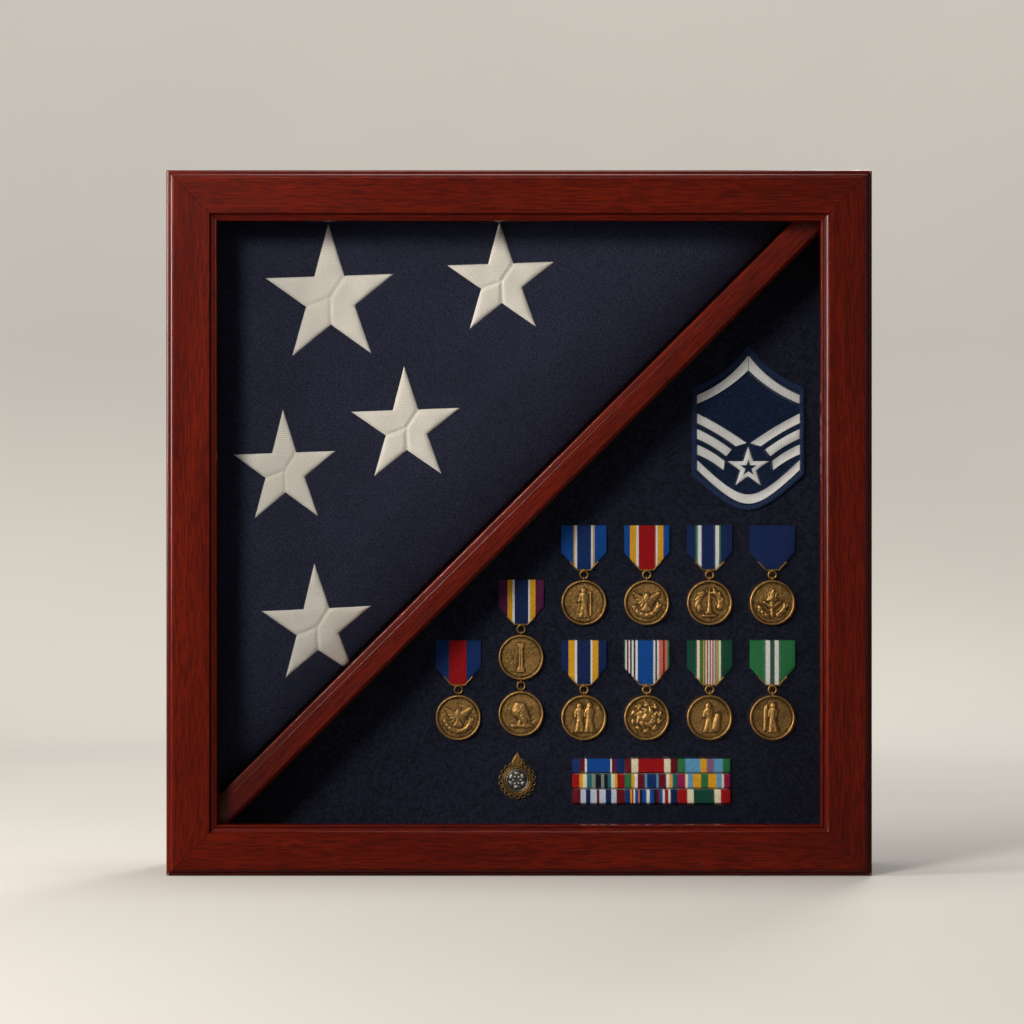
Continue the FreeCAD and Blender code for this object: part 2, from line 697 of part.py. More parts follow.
def patch_outline(y):
    """Shield outline with a hollow-sided roof and a round chin."""
    half = PATCH_HALF_WIDTH
    run = math.hypot(half, PATCH_HEIGHT - PATCH_SHOULDER)
    roof_drop = PATCH_ROOF_SAG * half / run
    roof_lean = PATCH_ROOF_SAG * (PATCH_HEIGHT - PATCH_SHOULDER) / run
    roof_middle = (PATCH_SHOULDER + PATCH_HEIGHT) / 2 - roof_drop
    chin_run = math.hypot(half, PATCH_LOWER_CORNER)
    chin_drop = PATCH_CHIN_BULGE * half / chin_run
    chin_lean = PATCH_CHIN_BULGE * PATCH_LOWER_CORNER / chin_run
    chin_middle = PATCH_LOWER_CORNER / 2 - chin_drop

    def at(x, z):
        return Vector(PATCH_CENTRE_X + x, y, PATCH_BOTTOM_Z + z)

    edges = [
        line(at(-half, PATCH_LOWER_CORNER), at(-half, PATCH_SHOULDER)),
        arc(at(-half, PATCH_SHOULDER), at(-half / 2 + roof_lean, roof_middle), at(0, PATCH_HEIGHT)),
        arc(at(0, PATCH_HEIGHT), at(half / 2 - roof_lean, roof_middle), at(half, PATCH_SHOULDER)),
        line(at(half, PATCH_SHOULDER), at(half, PATCH_LOWER_CORNER)),
        arc(at(half, PATCH_LOWER_CORNER), at(half / 2 + chin_lean, chin_middle), at(0, 0)),
        arc(at(0, 0), at(-half / 2 - chin_lean, chin_middle), at(-half, PATCH_LOWER_CORNER)),
    ]
    return Part.Wire(edges)


def patch_solid(inset, front, thickness):
    outline = patch_outline(front)
    if inset > 0:
        outline = outline.makeOffset2D(-inset, 2)
    return Part.Face(outline).extrude(Vector(0, thickness, 0))


def lowered(shape, drop):
    copy = shape.copy()
    copy.translate(Vector(0, 0, -drop))
    return copy


def make_patch():
    whole = patch_solid(0, CLOTH_Y - PATCH_BORDER_THICKNESS, PATCH_BORDER_THICKNESS)
    hole = patch_solid(PATCH_BORDER, CLOTH_Y - PATCH_BORDER_THICKNESS, PATCH_BORDER_THICKNESS)
    write("patch_border", whole.cut(hole))
    ground_front = CLOTH_Y - PATCH_GROUND_THICKNESS
    write("patch_ground", patch_solid(PATCH_BORDER, ground_front, PATCH_GROUND_THICKNESS))
    front = ground_front - STRIPE_THICKNESS
    field = patch_solid(PATCH_BORDER + STRIPE_MARGIN, front, STRIPE_THICKNESS)
    roof = field.cut(lowered(field, ROOF_STRIPE_HEIGHT))
    shoulder_z = PATCH_BOTTOM_Z + PATCH_SHOULDER - PATCH_HEIGHT / 2
    roof_half = box(
        PATCH_CENTRE_X - PATCH_HALF_WIDTH,
        PATCH_CENTRE_X - FIT / 2,
        front,
        ground_front,
        shoulder_z,
        PATCH_BOTTOM_Z + PATCH_HEIGHT,
    )
    other_half = roof_half.copy()
    other_half.translate(Vector(PATCH_HALF_WIDTH + FIT / 2, 0, 0))
    chin_top = PATCH_BOTTOM_Z + PATCH_LOWER_CORNER + STRIPE_HEIGHT
    chin_zone = box(
        PATCH_CENTRE_X - PATCH_HALF_WIDTH,
        PATCH_CENTRE_X + PATCH_HALF_WIDTH,
        front,
        ground_front,
        PATCH_BOTTOM_Z,
        chin_top,
    )
    chin = field.cut(lowered(field, -STRIPE_HEIGHT)).common(chin_zone)
    stripes = [roof.common(roof_half), roof.common(other_half), chin]
    star_z = PATCH_BOTTOM_Z + PATCH_STAR_HEIGHT
    along = Vector(0, 1, 0)
    clear = round_bar(
        PATCH_CENTRE_X, front, star_z, PATCH_STAR_CLEAR, STRIPE_THICKNESS, along, LARGE_ROUND_SIDES
    )
    fall = PATCH_HALF_WIDTH * math.tan(math.radians(BAR_SLOPE))
    for index in range(BAR_COUNT):
        high = PATCH_BOTTOM_Z + BAR_TOP - index * BAR_PITCH
        for sign in (-1, 1):
            edge = PATCH_CENTRE_X + sign * PATCH_HALF_WIDTH
            middle = PATCH_CENTRE_X + sign * FIT / 2
            outline = [
                (edge, high),
                (middle, high - fall),
                (middle, high - fall - STRIPE_HEIGHT),
                (edge, high - STRIPE_HEIGHT),
            ]
            stripes.append(plate(outline, front, ground_front).common(field).cut(clear))
    write("patch_stripes", *[solid for stripe in stripes for solid in stripe.Solids])
    star = plate(star_points(PATCH_CENTRE_X, star_z, PATCH_STAR_RADIUS, 0), front, ground_front)
    centre = plate(star_points(PATCH_CENTRE_X, star_z, PATCH_STAR_HOLE, 0), front, ground_front)
    write("patch_star", star.cut(centre))


def leaf(lean):
    """Pointed leaf of the badge's finial, standing on the ring and leaning to one side."""
    front = CLOTH_Y - BADGE_THICKNESS
    foot = Vector(BADGE_X, front, BADGE_Z + BADGE_INNER_RADIUS)
    tip = foot + Vector(0, 0, BADGE_LEAF_LENGTH)
    middle = (foot + tip) * 0.5
    swell = Vector(BADGE_LEAF_WIDTH / 2, 0, 0)
    outline = Part.Wire([arc(foot, middle + swell, tip), arc(tip, middle - swell, foot)])
    solid = Part.Face(outline).extrude(Vector(0, BADGE_THICKNESS, 0))
    solid.rotate(foot, Vector(0, 1, 0), lean)
    return solid


def make_badge():
    front = CLOTH_Y - BADGE_THICKNESS
    along = Vector(0, 1, 0)
    ring = round_bar(BADGE_X, front, BADGE_Z, BADGE_RADIUS, BADGE_THICKNESS, along, LARGE_ROUND_SIDES)
    pieces = [leaf(BADGE_LEAF_LEAN), leaf(-BADGE_LEAF_LEAN)]
    for step in range(BADGE_LOOP_COUNT):
        angle = 2 * math.pi * step / BADGE_LOOP_COUNT
        x = BADGE_X + BADGE_RADIUS * math.sin(angle)
        z = BADGE_Z + BADGE_RADIUS * math.cos(angle)
        pieces.append(round_bar(x, front, z, BADGE_LOOP_RADIUS, BADGE_THICKNESS, along, BADGE_LOOP_SIDES))
    inner = BADGE_INNER_RADIUS
    hole = round_bar(BADGE_X, front, BADGE_Z, inner, BADGE_THICKNESS, along, LARGE_ROUND_SIDES)
    write("badge_frame", ring.fuse(pieces).cut(hole))
    base = MEDALLION_THICKNESS - MEDALLION_DOME
    base_front = CLOTH_Y - base
    disc = round_bar(BADGE_X, base_front, BADGE_Z, inner, base, along, LARGE_ROUND_SIDES)
    crest_front = base_front - MEDALLION_DOME
    crest = round_bar(BADGE_X, crest_front, BADGE_Z, MEDALLION_CREST_RADIUS, MEDALLION_DOME, along)
    write("badge_medallion", disc.fuse(crest))


def make_ribbon_rack():
    width = RACK_COLUMNS * (RACK_BAR_WIDTH + RACK_GAP) - RACK_GAP
    height = RACK_ROWS * (RACK_BAR_HEIGHT + RACK_GAP) - RACK_GAP
    left = RACK_CENTRE_X - width / 2
    holder_front = CLOTH_Y - RACK_HOLDER_THICKNESS
    holder = box(
        left + RACK_HOLDER_MARGIN,
        left + width - RACK_HOLDER_MARGIN,
        holder_front,
        CLOTH_Y,
        RACK_TOP_Z - height + RACK_HOLDER_MARGIN,
        RACK_TOP_Z - RACK_HOLDER_MARGIN,
    )
    write("ribbon_rack_holder", holder)
    bars = []
    bar_front = holder_front - RACK_BAR_THICKNESS
    for row in range(RACK_ROWS):
        for column in range(RACK_COLUMNS):
            x = left + column * (RACK_BAR_WIDTH + RACK_GAP)
            z = RACK_TOP_Z - row * (RACK_BAR_HEIGHT + RACK_GAP)
            bar = box(x, x + RACK_BAR_WIDTH, bar_front, holder_front, z - RACK_BAR_HEIGHT, z)
            front_edges = [
                edge for edge in bar.Edges if edge.BoundBox.YMax < bar_front + RACK_BAR_EDGE
            ]
            bars.append(bar.makeChamfer(RACK_BAR_EDGE, front_edges))
    write("ribbon_bars", *bars)


# Hangers and bumpers


def hanger_x(sign):
    return sign * (HALF - SIDE_THICKNESS / 2)


def barrel_radius():
    return D_RING_WIRE + BARREL_CLEARANCE + STRAP_STEEL


def hanger_screws(sign):
    screws = []
    seat = REAR_Y + STRAP_STEEL
    for drop in SCREW_DROPS:
        x = hanger_x(sign)
        z = HANGER_HEIGHT - drop
        shank = round_bar(x, seat, z, SCREW_SHANK_RADIUS, SCREW_LENGTH, Vector(0, -1, 0))
        head = round_bar(x, seat, z, SCREW_HEAD_RADIUS, SCREW_HEAD_HEIGHT, Vector(0, 1, 0))
        screws.append(shank.fuse(head).removeSplitter())
    return screws


def hanger_strap(sign):
    x = hanger_x(sign)
    half = STRAP_WIDTH / 2
    axis_y = REAR_Y + barrel_radius()
    start = x - half
    barrel = turning_bar(start, axis_y, HANGER_HEIGHT, barrel_radius(), STRAP_WIDTH, Vector(1, 0, 0))
    foot = HANGER_HEIGHT - STRAP_LENGTH
    tongue = box(start, x + half, REAR_Y, REAR_Y + STRAP_STEEL, foot, HANGER_HEIGHT)
    bore_radius = D_RING_WIRE + BARREL_CLEARANCE
    bore = turning_bar(start, axis_y, HANGER_HEIGHT, bore_radius, STRAP_WIDTH, Vector(1, 0, 0))
    return barrel.fuse(tongue).cut([bore] + hanger_screws(sign))


def d_ring(sign):
    """Wire ring hanging down from its straight bar, which turns in the strap's barrel."""
    x = hanger_x(sign)
    y = REAR_Y + barrel_radius()
    half = D_RING_HALF_WIDTH
    corner = D_RING_CORNER

    def at(across, drop):
        return Vector(x + across, y, HANGER_HEIGHT - drop)

    bar_half = half - corner
    side_end = corner + D_RING_SIDE
    edges = [
        line(at(-bar_half, 0), at(bar_half, 0)),
        quarter(at(bar_half, corner), at(bar_half, 0), at(half, corner)),
        line(at(half, corner), at(half, side_end)),
        arc(at(half, side_end), at(0, side_end + half), at(-half, side_end)),
        line(at(-half, side_end), at(-half, corner)),
        quarter(at(-bar_half, corner), at(-half, corner), at(-bar_half, 0)),
    ]
    start = at(-bar_half, 0)
    section = many_sided(start, Vector(1, 0, 0), D_RING_WIRE, D_RING_WIRE_SIDES)
    return Part.Wire(edges).makePipeShell([section], True, False)


def make_hangers():
    write("hanger_straps", hanger_strap(-1), hanger_strap(1))
    write("hanger_screws", *hanger_screws(-1), *hanger_screws(1))
    write("d_ring_left", d_ring(-1))
    write("d_ring_right", d_ring(1))
    bumpers = []
    for sign in (-1, 1):
        disc = round_bar(hanger_x(sign), REAR_Y, BUMPER_LIFT, BUMPER_RADIUS, BUMPER_HEIGHT, Vector(0, 1, 0))
        rim = [edge for edge in disc.Edges if edge.BoundBox.YMin > REAR_Y + BUMPER_HEIGHT / 2]
        bumpers.append(disc.makeChamfer(BUMPER_EDGE, rim))
    write("wall_bumpers", *bumpers)


def main():
    os.makedirs("parts", exist_ok=True)
    make_moulding()
    make_glazing()
    pegs = divider_pegs()
    make_sides(pegs)
    make_back_panel()
    make_divider(pegs)
    make_flag()
    make_medal_board()
    make_medals()
    make_patch()
    make_badge()
    make_ribbon_rack()
    make_hangers()


main()
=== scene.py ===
import math
from contextlib import contextmanager

import bmesh
import bpy
import numpy
from bpy.props import FloatProperty, FloatVectorProperty, PointerProperty
from mathutils import Matrix, Vector
from mathutils.bvhtree import BVHTree


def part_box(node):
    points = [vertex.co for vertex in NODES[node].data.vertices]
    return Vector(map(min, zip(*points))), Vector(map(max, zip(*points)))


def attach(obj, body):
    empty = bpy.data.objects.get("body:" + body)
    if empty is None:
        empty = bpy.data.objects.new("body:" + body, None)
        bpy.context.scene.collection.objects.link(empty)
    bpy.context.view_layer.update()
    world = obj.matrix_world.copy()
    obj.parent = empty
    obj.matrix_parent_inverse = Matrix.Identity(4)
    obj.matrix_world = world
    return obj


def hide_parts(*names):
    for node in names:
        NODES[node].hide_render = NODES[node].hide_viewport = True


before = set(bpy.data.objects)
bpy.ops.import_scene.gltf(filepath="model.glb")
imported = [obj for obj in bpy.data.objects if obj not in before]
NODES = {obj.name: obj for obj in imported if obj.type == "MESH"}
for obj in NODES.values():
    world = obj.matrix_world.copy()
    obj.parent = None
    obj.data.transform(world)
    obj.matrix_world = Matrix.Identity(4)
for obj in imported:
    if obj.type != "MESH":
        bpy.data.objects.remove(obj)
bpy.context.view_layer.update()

bl_info = {
    "name": "Folded flag display case",
    "version": (1, 0, 0),
    "blender": (4, 5, 0),
    "location": "3D View > Sidebar > Flag case",
    "description": "Dresses a display case that holds a folded flag, medals, a patch and ribbon bars",
    "category": "Add Mesh",
}

MM = 0.001
ROOT_TWO = math.sqrt(2.0)
QUARTER_TURN = math.pi / 2

# Edges sharper than this, in degrees, are rounded, and points nearer than the other are merged
SHARP_EDGE = 40.0
MERGE_REACH = 1e-5

# Places in metres that the piece's own nodes give
CASE_LEFT, CASE_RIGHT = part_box("left_side")[0][0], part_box("right_side")[1][0]
CASE_HALF = (CASE_RIGHT - CASE_LEFT) / 2
MOULDING_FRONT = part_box("bottom_moulding")[0][1]
MOULDING_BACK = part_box("bottom_moulding")[1][1]
CLOTH_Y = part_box("board_cloth")[0][1]

# Stars on the flag: centre X and Z, point radius, turn in degrees and upward stretch
FLAG_STARS = (
    (-0.1450, 0.4397, 0.0523, 1.8, 1.045),
    (-0.0136, 0.4524, 0.0438, 1.9, 1.02),
    (-0.0866, 0.3399, 0.0445, 2.0, 1.02),
    (-0.1798, 0.3071, 0.0419, 1.9, 1.07),
    (-0.1551, 0.1867, 0.0446, 2.5, 1.055),
)
STAR_INNER_RATIO = 0.382
STAR_TOP_REACH = 1.06

# Stripes of each ribbon from left to right, as a colour and its share of the width
RIBBON_STRIPES = (
    "blue 27 gold 3 white 5 royal 31 white 4 tan 4 blue 26",
    "blue 13 gold 14 white 5 red 38 white 4 gold 13 blue 13",
    "navy 19 green 5 white 8 navy 31 white 8 green 4 navy 25",
    "navy 100",
    "purple 20 gold 11 white 5 navy 30 white 4 gold 12 purple 18",
    "royal 30 red 38 royal 32",
    "navy 16 gold 14 white 5 navy 30 white 4 gold 13 navy 18",
    "green 3 white 3 maroon 4 white 3 ink 4 white 4 ink 4 white 5 blue 35 white 4 ink 4 white 4"
    " salmon 9 maroon 4 salmon 6 green 4",
    "pine 22 cream 6 green 8 gold 2 green 3 cream 3 red 3 white 3 red 3 white 3 red 3 cream 2 sage 5"
    " gold 2 green 2 cream 5 pine 25",
    "emerald 35 white 10 pine 10 white 9 emerald 36",
)
RACK_STRIPES = (
    "royal 15 maroon 9 white 4 blue 45 white 3 maroon 7 royal 17",
    "maroon 12 cream 13 red 50 cream 12 maroon 13",
    "emerald 14 sky 29 gold 12 mauve 14 sky 17 emerald 14",
    "red 15 gold 7 cream 9 teal 10 sage 8 ink 12 sage 6 ink 8 teal 7 cream 8 gold 5 red 15",
    "emerald 12 gold 6 white 6 maroon 14 sky 4 royal 18 sky 4 maroon 15 white 6 gold 6 teal 9",
    "magenta 14 cream 5 sky 10 gold 15 emerald 14 gold 16 sky 10 cream 4 magenta 12",
    "maroon 16 pale 10 navy 9 pale 12 maroon 5 pale 12 navy 11 pale 10 maroon 15",
    "royal 10 gold 3 red 3 white 3 blue 6 salmon 3 ink 5 blue 8 white 6 blue 8 ink 6 maroon 5 blue 6"
    " white 4 red 7 white 4 navy 13",
    "red 18 cream 12 pine 40 cream 12 red 18",
)
RACK_COLUMNS = 3

# Number of the medal that another one hangs from
DOUBLE_LUG = 5


def linear(level):
    """Linear value of one screen level from 0 to 255."""
    share = level / 255.0
    return share / 12.92 if share <= 0.04045 else ((share + 0.055) / 1.055) ** 2.4


def colour_property(label, use, *levels):
    shade = [linear(level) for level in levels]
    return FloatVectorProperty(
        name=label, description=use, size=3, subtype="COLOR", min=0, max=1, default=shade
    )


def length_property(label, use, millimetres):
    return FloatProperty(name=label, description=use, unit="LENGTH", min=0, default=millimetres * MM)


class CaseColours(bpy.types.PropertyGroup):
    """Colours of the case's woods, cloths and metals."""

    wood_dark: colour_property("Wood streaks", "Dark streaks and pores of the red-brown wood", 38, 5, 3)
    wood_middle: colour_property("Wood", "Main colour of the red-brown wood", 94, 18, 3)
    wood_light: colour_property("Wood figure", "Lighter bands of the red-brown wood", 114, 26, 5)
    pine_dark: colour_property("Pine streaks", "Late wood of the plain inner pieces", 150, 108, 66)
    pine_light: colour_property("Pine", "Early wood of the plain inner pieces", 206, 170, 118)
    fibre_dark: colour_property("Board fibres", "Dark fibres of the back panel", 84, 56, 34)
    fibre_light: colour_property("Board", "Main colour of the back panel", 128, 92, 58)
    flag: colour_property("Flag cloth", "Navy cloth of the folded flag", 55, 57, 76)
    star: colour_property("Star thread", "Warm white thread of the flag's stars", 226, 219, 206)
    board: colour_property("Board cloth", "Dark cloth of the medal board", 42, 45, 60)
    card: colour_property("Board core", "Grey card under the cloth", 120, 112, 100)
    patch_white: colour_property("Patch stripes", "White thread of the patch", 244, 243, 238)
    border: colour_property("Patch border", "Blue thread round the patch", 46, 64, 102)
    ground: colour_property("Patch ground", "Navy twill of the patch", 36, 50, 78)
    outline: colour_property("Patch outline", "Dark thread round the white stripes", 12, 14, 20)
    bronze: colour_property("Bronze", "Raised bronze of the medals", 186, 144, 84)
    bronze_dark: colour_property("Bronze patina", "Dark bronze in the hollows", 58, 40, 19)
    brass: colour_property("Brass", "Rings, wires and the badge", 214, 166, 78)
    brass_dark: colour_property("Brass tarnish", "Dull brass in the hollows", 120, 82, 30)
    old_brass: colour_property("Old brass", "Filigree of the badge", 150, 116, 64)
    old_brass_dark: colour_property("Old brass tarnish", "Dark brass in the filigree", 34, 25, 13)
    silver: colour_property("Silver", "Badge centre", 140, 136, 126)
    silver_dark: colour_property("Silver tarnish", "Dark silver in the hollows", 10, 10, 9)
    steel: colour_property("Steel", "Plated hangers and screws", 178, 176, 168)
    steel_dark: colour_property("Steel wear", "Dull patches of the plated steel", 120, 116, 108)
    rubber: colour_property("Rubber", "Wall bumpers", 38, 37, 36)
    floor: colour_property("Floor", "Plain studio floor and backdrop", 226, 222, 214)


class RibbonColours(bpy.types.PropertyGroup):
    """Thread colours of the medal ribbons and the ribbon bars."""

    blue: colour_property("Blue", "Bright blue thread", 16, 74, 150)
    royal: colour_property("Royal blue", "Deep blue thread", 22, 50, 104)
    navy: colour_property("Navy", "Navy thread", 22, 40, 84)
    ink: colour_property("Ink", "Nearly black thread", 20, 22, 34)
    red: colour_property("Red", "Red thread", 158, 16, 20)
    maroon: colour_property("Maroon", "Dark red thread", 104, 20, 30)
    gold: colour_property("Gold", "Golden yellow thread", 226, 164, 34)
    tan: colour_property("Tan", "Tan thread", 200, 168, 118)
    white: colour_property("White", "White thread", 232, 231, 226)
    cream: colour_property("Cream", "Cream thread", 236, 224, 190)
    pale: colour_property("Pale blue", "Bluish white thread", 196, 206, 222)
    green: colour_property("Green", "Middle green thread", 52, 112, 70)
    emerald: colour_property("Emerald", "Bright green thread", 44, 112, 66)
    pine: colour_property("Pine green", "Dark green thread", 22, 72, 55)
    sage: colour_property("Sage", "Grey green thread", 128, 146, 128)
    teal: colour_property("Teal", "Blue green thread", 30, 110, 120)
    sky: colour_property("Sky blue", "Light blue thread", 96, 158, 196)
    purple: colour_property("Purple", "Purple thread", 88, 28, 68)
    mauve: colour_property("Mauve", "Greyish violet thread", 132, 96, 130)
    magenta: colour_property("Magenta", "Purplish red thread", 146, 26, 74)
    salmon: colour_property("Salmon", "Pinkish orange thread", 206, 112, 94)


class CaseSizes(bpy.types.PropertyGroup):
    """Sizes of the case's small forms."""

    outer_bead: length_property("Outer bead", "Radius of the bead on the moulding's outer edge", 2.4)
    upper_bead: length_property("Upper bead", "Radius of the bead beside the moulding's flat", 3.0)
    bead_step: length_property("Bead step", "Flat between the two outer beads", 0.6)
    quirk: length_property("Quirk", "Small square step beside a bead", 0.4)
    cove: length_property("Cove", "Radius of the hollow at the inner edge", 3.0)
    lip_bead: length_property("Lip bead", "Radius of the bead at the sight edge", 1.05)
    rabbet_width: length_property("Rabbet width", "Width of the step that holds the glass", 10.5)
    rabbet_depth: length_property("Rabbet depth", "Depth of the step that holds the glass", 6.0)
    mitre_gap: length_property("Mitre gap", "Half of the open line at each mitre", 0.16)
    divider_upper: length_property("Divider upper edge", "Diagonal to the divider's upper edge", 15.0)
    divider_lower: length_property("Divider lower edge", "Diagonal to the divider's lower edge", 6.0)
    star_height: length_property("Star height", "How far the stars stand up from the flag", 1.7)
    star_crease: length_property("Star crease", "Depth of the creases between the arms", 1.0)
    ribbon_stand: length_property("Ribbon stand", "Gap between the board and the back of a ribbon", 1.2)
    ribbon_tip: length_property("Ribbon tip", "Width of the ribbon's folded tip", 10.0)
    ribbon_shoulder: length_property("Ribbon shoulder", "Height of the ribbon's straight sides", 21.0)
    ribbon_length: length_property("Ribbon length", "Height of the folded ribbon", 34.3)
    medal_radius: length_property("Medal radius", "Outer radius of a medal", 17.5)
    medal_rim: length_property("Medal rim", "Radius of the bead round a medal", 0.85)
    relief: length_property("Relief", "Height of the figures on the medals", 1.3)
    ring_radius: length_property("Ring radius", "Radius of a suspension ring at its wire's middle", 3.0)
    ring_wire: length_property("Ring wire", "Radius of the ring's wire", 0.5)
    hanger_wire: length_property("Hanger wire", "Radius of the hanging rings' wire", 1.0)


# Modelling


def deselect():
    bpy.ops.object.select_all(action="DESELECT")


def activate(piece):
    deselect()
    piece.select_set(True)
    bpy.context.view_layer.objects.active = piece


def named(name):
    """Names the object that the last operator added."""
    piece = bpy.context.object
    piece.name = name
    piece.data.name = name
    return piece


@contextmanager
def editing(piece, kind="VERT"):
    """Edit mode on one piece with nothing selected."""
    activate(piece)
    bpy.ops.object.mode_set(mode="EDIT")
    bpy.ops.mesh.select_mode(type=kind)
    bpy.ops.mesh.select_all(action="DESELECT")
    yield
    bpy.ops.object.mode_set(mode="OBJECT")


def pick_faces(piece, wanted):
    """Selects the faces of the piece in edit mode that pass the test."""
    shape = bmesh.from_edit_mesh(piece.data)
    for face in shape.faces:
        face.select_set(wanted(face))
    bmesh.update_edit_mesh(piece.data)


def face_outwards():
    bpy.ops.mesh.select_all(action="SELECT")
    bpy.ops.mesh.normals_make_consistent(inside=False)


def apply(piece, kind, **values):
    """Adds a modifier and applies it."""
    modifier = piece.modifiers.new(kind.title(), kind)
    for key, value in values.items():
        setattr(modifier, key, value)
    activate(piece)
    bpy.ops.object.modifier_apply(modifier=modifier.name)


def round_edges(piece, width, segments=2, angle=SHARP_EDGE):
    limit = math.radians(angle)
    apply(piece, "BEVEL", width=width, segments=segments, limit_method="ANGLE", angle_limit=limit)


def smooth(piece, angle=35.0):
    activate(piece)
    bpy.ops.object.shade_smooth_by_angle(angle=math.radians(angle))


def smooth_all(piece):
    activate(piece)
    bpy.ops.object.shade_smooth()


def points_of(piece):
    flat = numpy.empty(len(piece.data.vertices) * 3)
    piece.data.vertices.foreach_get("co", flat)
    return flat.reshape(-1, 3)


def place_points(piece, points):
    piece.data.vertices.foreach_set("co", numpy.ascontiguousarray(points, dtype=float).ravel())
    piece.data.update()


def middle_of(node):
    return tuple((low + high) / 2 for low, high in zip(*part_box(node)))


def outlined(name, points):
    """A flat face on the given corners, begun as a filled circle."""
    deselect()
    bpy.ops.mesh.primitive_circle_add(vertices=len(points), fill_type="NGON")
    piece = named(name)
    place_points(piece, numpy.array([tuple(point) for point in points]))
    return piece


def extrude_all(piece, move):
    with editing(piece, "FACE"):
        bpy.ops.mesh.select_all(action="SELECT")
        bpy.ops.mesh.extrude_region_move(TRANSFORM_OT_translate={"value": move})
        face_outwards()


def cut_off(piece, point, outer, fill=True):
    """Cuts the piece at a plane and drops what is on the plane's outer side."""
    with editing(piece):
        bpy.ops.mesh.select_all(action="SELECT")
        bpy.ops.mesh.bisect(plane_co=point, plane_no=outer, use_fill=fill, clear_outer=True)


def arc_points(centre, radius, start, end, steps):
    """Points of an arc in its own plane, with angles in degrees."""
    angles = numpy.radians(numpy.linspace(start, end, steps + 1))
    return [(centre[0] + radius * math.cos(a), centre[1] + radius * math.sin(a)) for a in angles]


def turned_copy(piece, name, turn):
    copy = piece.copy()
    copy.data = piece.data.copy()
    copy.name = name
    copy.data.name = name
    copy.data.transform(turn)
    bpy.context.collection.objects.link(copy)
    return copy


def join(name, pieces):
    """Joins pieces into the first of them."""
    deselect()
    for piece in pieces:
        piece.select_set(True)
    bpy.context.view_layer.objects.active = pieces[0]
    bpy.ops.object.join()
    return named(name)


def ring(name, centre, radius, wire, axis, segments=48, sides=12):
    """Round wire ring about the X or the Y axis."""
    deselect()
    bpy.ops.mesh.primitive_torus_add(
        major_radius=radius, minor_radius=wire, major_segments=segments, minor_segments=sides
    )
    piece = named(name)
    turn = Matrix.Rotation(QUARTER_TURN, 4, {"Y": "X", "X": "Y"}[axis])
    piece.data.transform(Matrix.Translation(centre) @ turn)
    smooth_all(piece)
    return piece


def bent_wire(name, points, radius, closed=False):
    """Round wire through the given points, made a mesh."""
    curve = bpy.data.curves.new(name, "CURVE")
    curve.dimensions = "3D"
    curve.bevel_depth = radius
    curve.bevel_resolution = 3
    curve.use_fill_caps = True
    spline = curve.splines.new("POLY")
    spline.points.add(len(points) - 1)
    for target, point in zip(spline.points, points):
        target.co = (*point, 1.0)
    spline.use_cyclic_u = closed
    wire = bpy.data.objects.new(name, curve)
    bpy.context.collection.objects.link(wire)
    activate(wire)
    bpy.ops.object.convert(target="MESH")
    piece = named(name)
    smooth_all(piece)
    return piece


def value_on_points(piece, name, values):
    layer = piece.data.attributes.new(name, "FLOAT", "POINT")
    layer.data.foreach_set("value", numpy.ascontiguousarray(values, dtype=numpy.float32))


def settle(piece, material, body="case", stands_for=()):
    """Gives a finished piece its material, its body and the nodes it stands for."""
    piece.data.materials.clear()
    piece.data.materials.append(material)
    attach(piece, body)
    if stands_for:
        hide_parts(*stands_for)


def dress(names, material, edge=0.0):
    """Gives nodes that keep their shape a material and, where asked, softened edges."""
    for name in names:
        node = NODES[name]
        node.data.materials.clear()
        node.data.materials.append(material)
        if edge:
            weld = node.modifiers.new("Merged corners", "WELD")
            weld.merge_threshold = MERGE_REACH
            bevel = node.modifiers.new("Soft edges", "BEVEL")
            bevel.width = edge
            bevel.segments = 2
            bevel.limit_method = "ANGLE"
            bevel.angle_limit = math.radians(SHARP_EDGE)


# Materials


def darker(colour, share):
    return tuple(share * value for value in colour)


def fill_inputs(tree, node, values):
    """Links a node's inputs to sockets or gives them plain values."""
    for socket, value in values.items():
        target = node.inputs[socket]
        if isinstance(value, bpy.types.NodeSocket):
            tree.links.new(value, target)
        elif target.type == "RGBA":
            target.default_value = (*tuple(value)[:3], 1.0)
        else:
            target.default_value = value


def add(tree, kind, values=None, **settings):
    """Adds a node, sets it up, and fills or links its inputs."""
    made = tree.nodes.new("ShaderNode" + kind)
    for key, value in settings.items():
        setattr(made, key, value)
    fill_inputs(tree, made, values or {})
    return made


def maths(tree, operation, first, second=0.0, third=0.5):
    return add(tree, "Math", {0: first, 1: second, 2: third}, operation=operation).outputs[0]


def spread(tree, value, low, high, to_low=0.0, to_high=1.0):
    """Maps a range of a value smoothly to another range."""
    values = {0: value, 1: low, 2: high, 3: to_low, 4: to_high}
    return add(tree, "MapRange", values, interpolation_type="SMOOTHSTEP").outputs[0]


def mixed(tree, share, first, second, blend="MIX"):
    values = {0: share, 6: first, 7: second}
    return add(tree, "Mix", values, data_type="RGBA", blend_type=blend).outputs[2]


def stretched(tree, vector, x, y, z):
    return add(tree, "Mapping", {"Vector": vector, "Scale": (x, y, z)}).outputs[0]


def noise(tree, vector, scale, detail=3.0, roughness=0.55):
    values = {"Vector": vector, "Scale": scale, "Detail": detail, "Roughness": roughness}
    return add(tree, "TexNoise", values).outputs["Fac"]


def waves(tree, value, pitch):
    """Wave from 0 to 1 that repeats at a pitch in metres."""
    phase = maths(tree, "MULTIPLY", value, 2 * math.pi / pitch)
    return maths(tree, "MULTIPLY_ADD", maths(tree, "SINE", phase), 0.5)


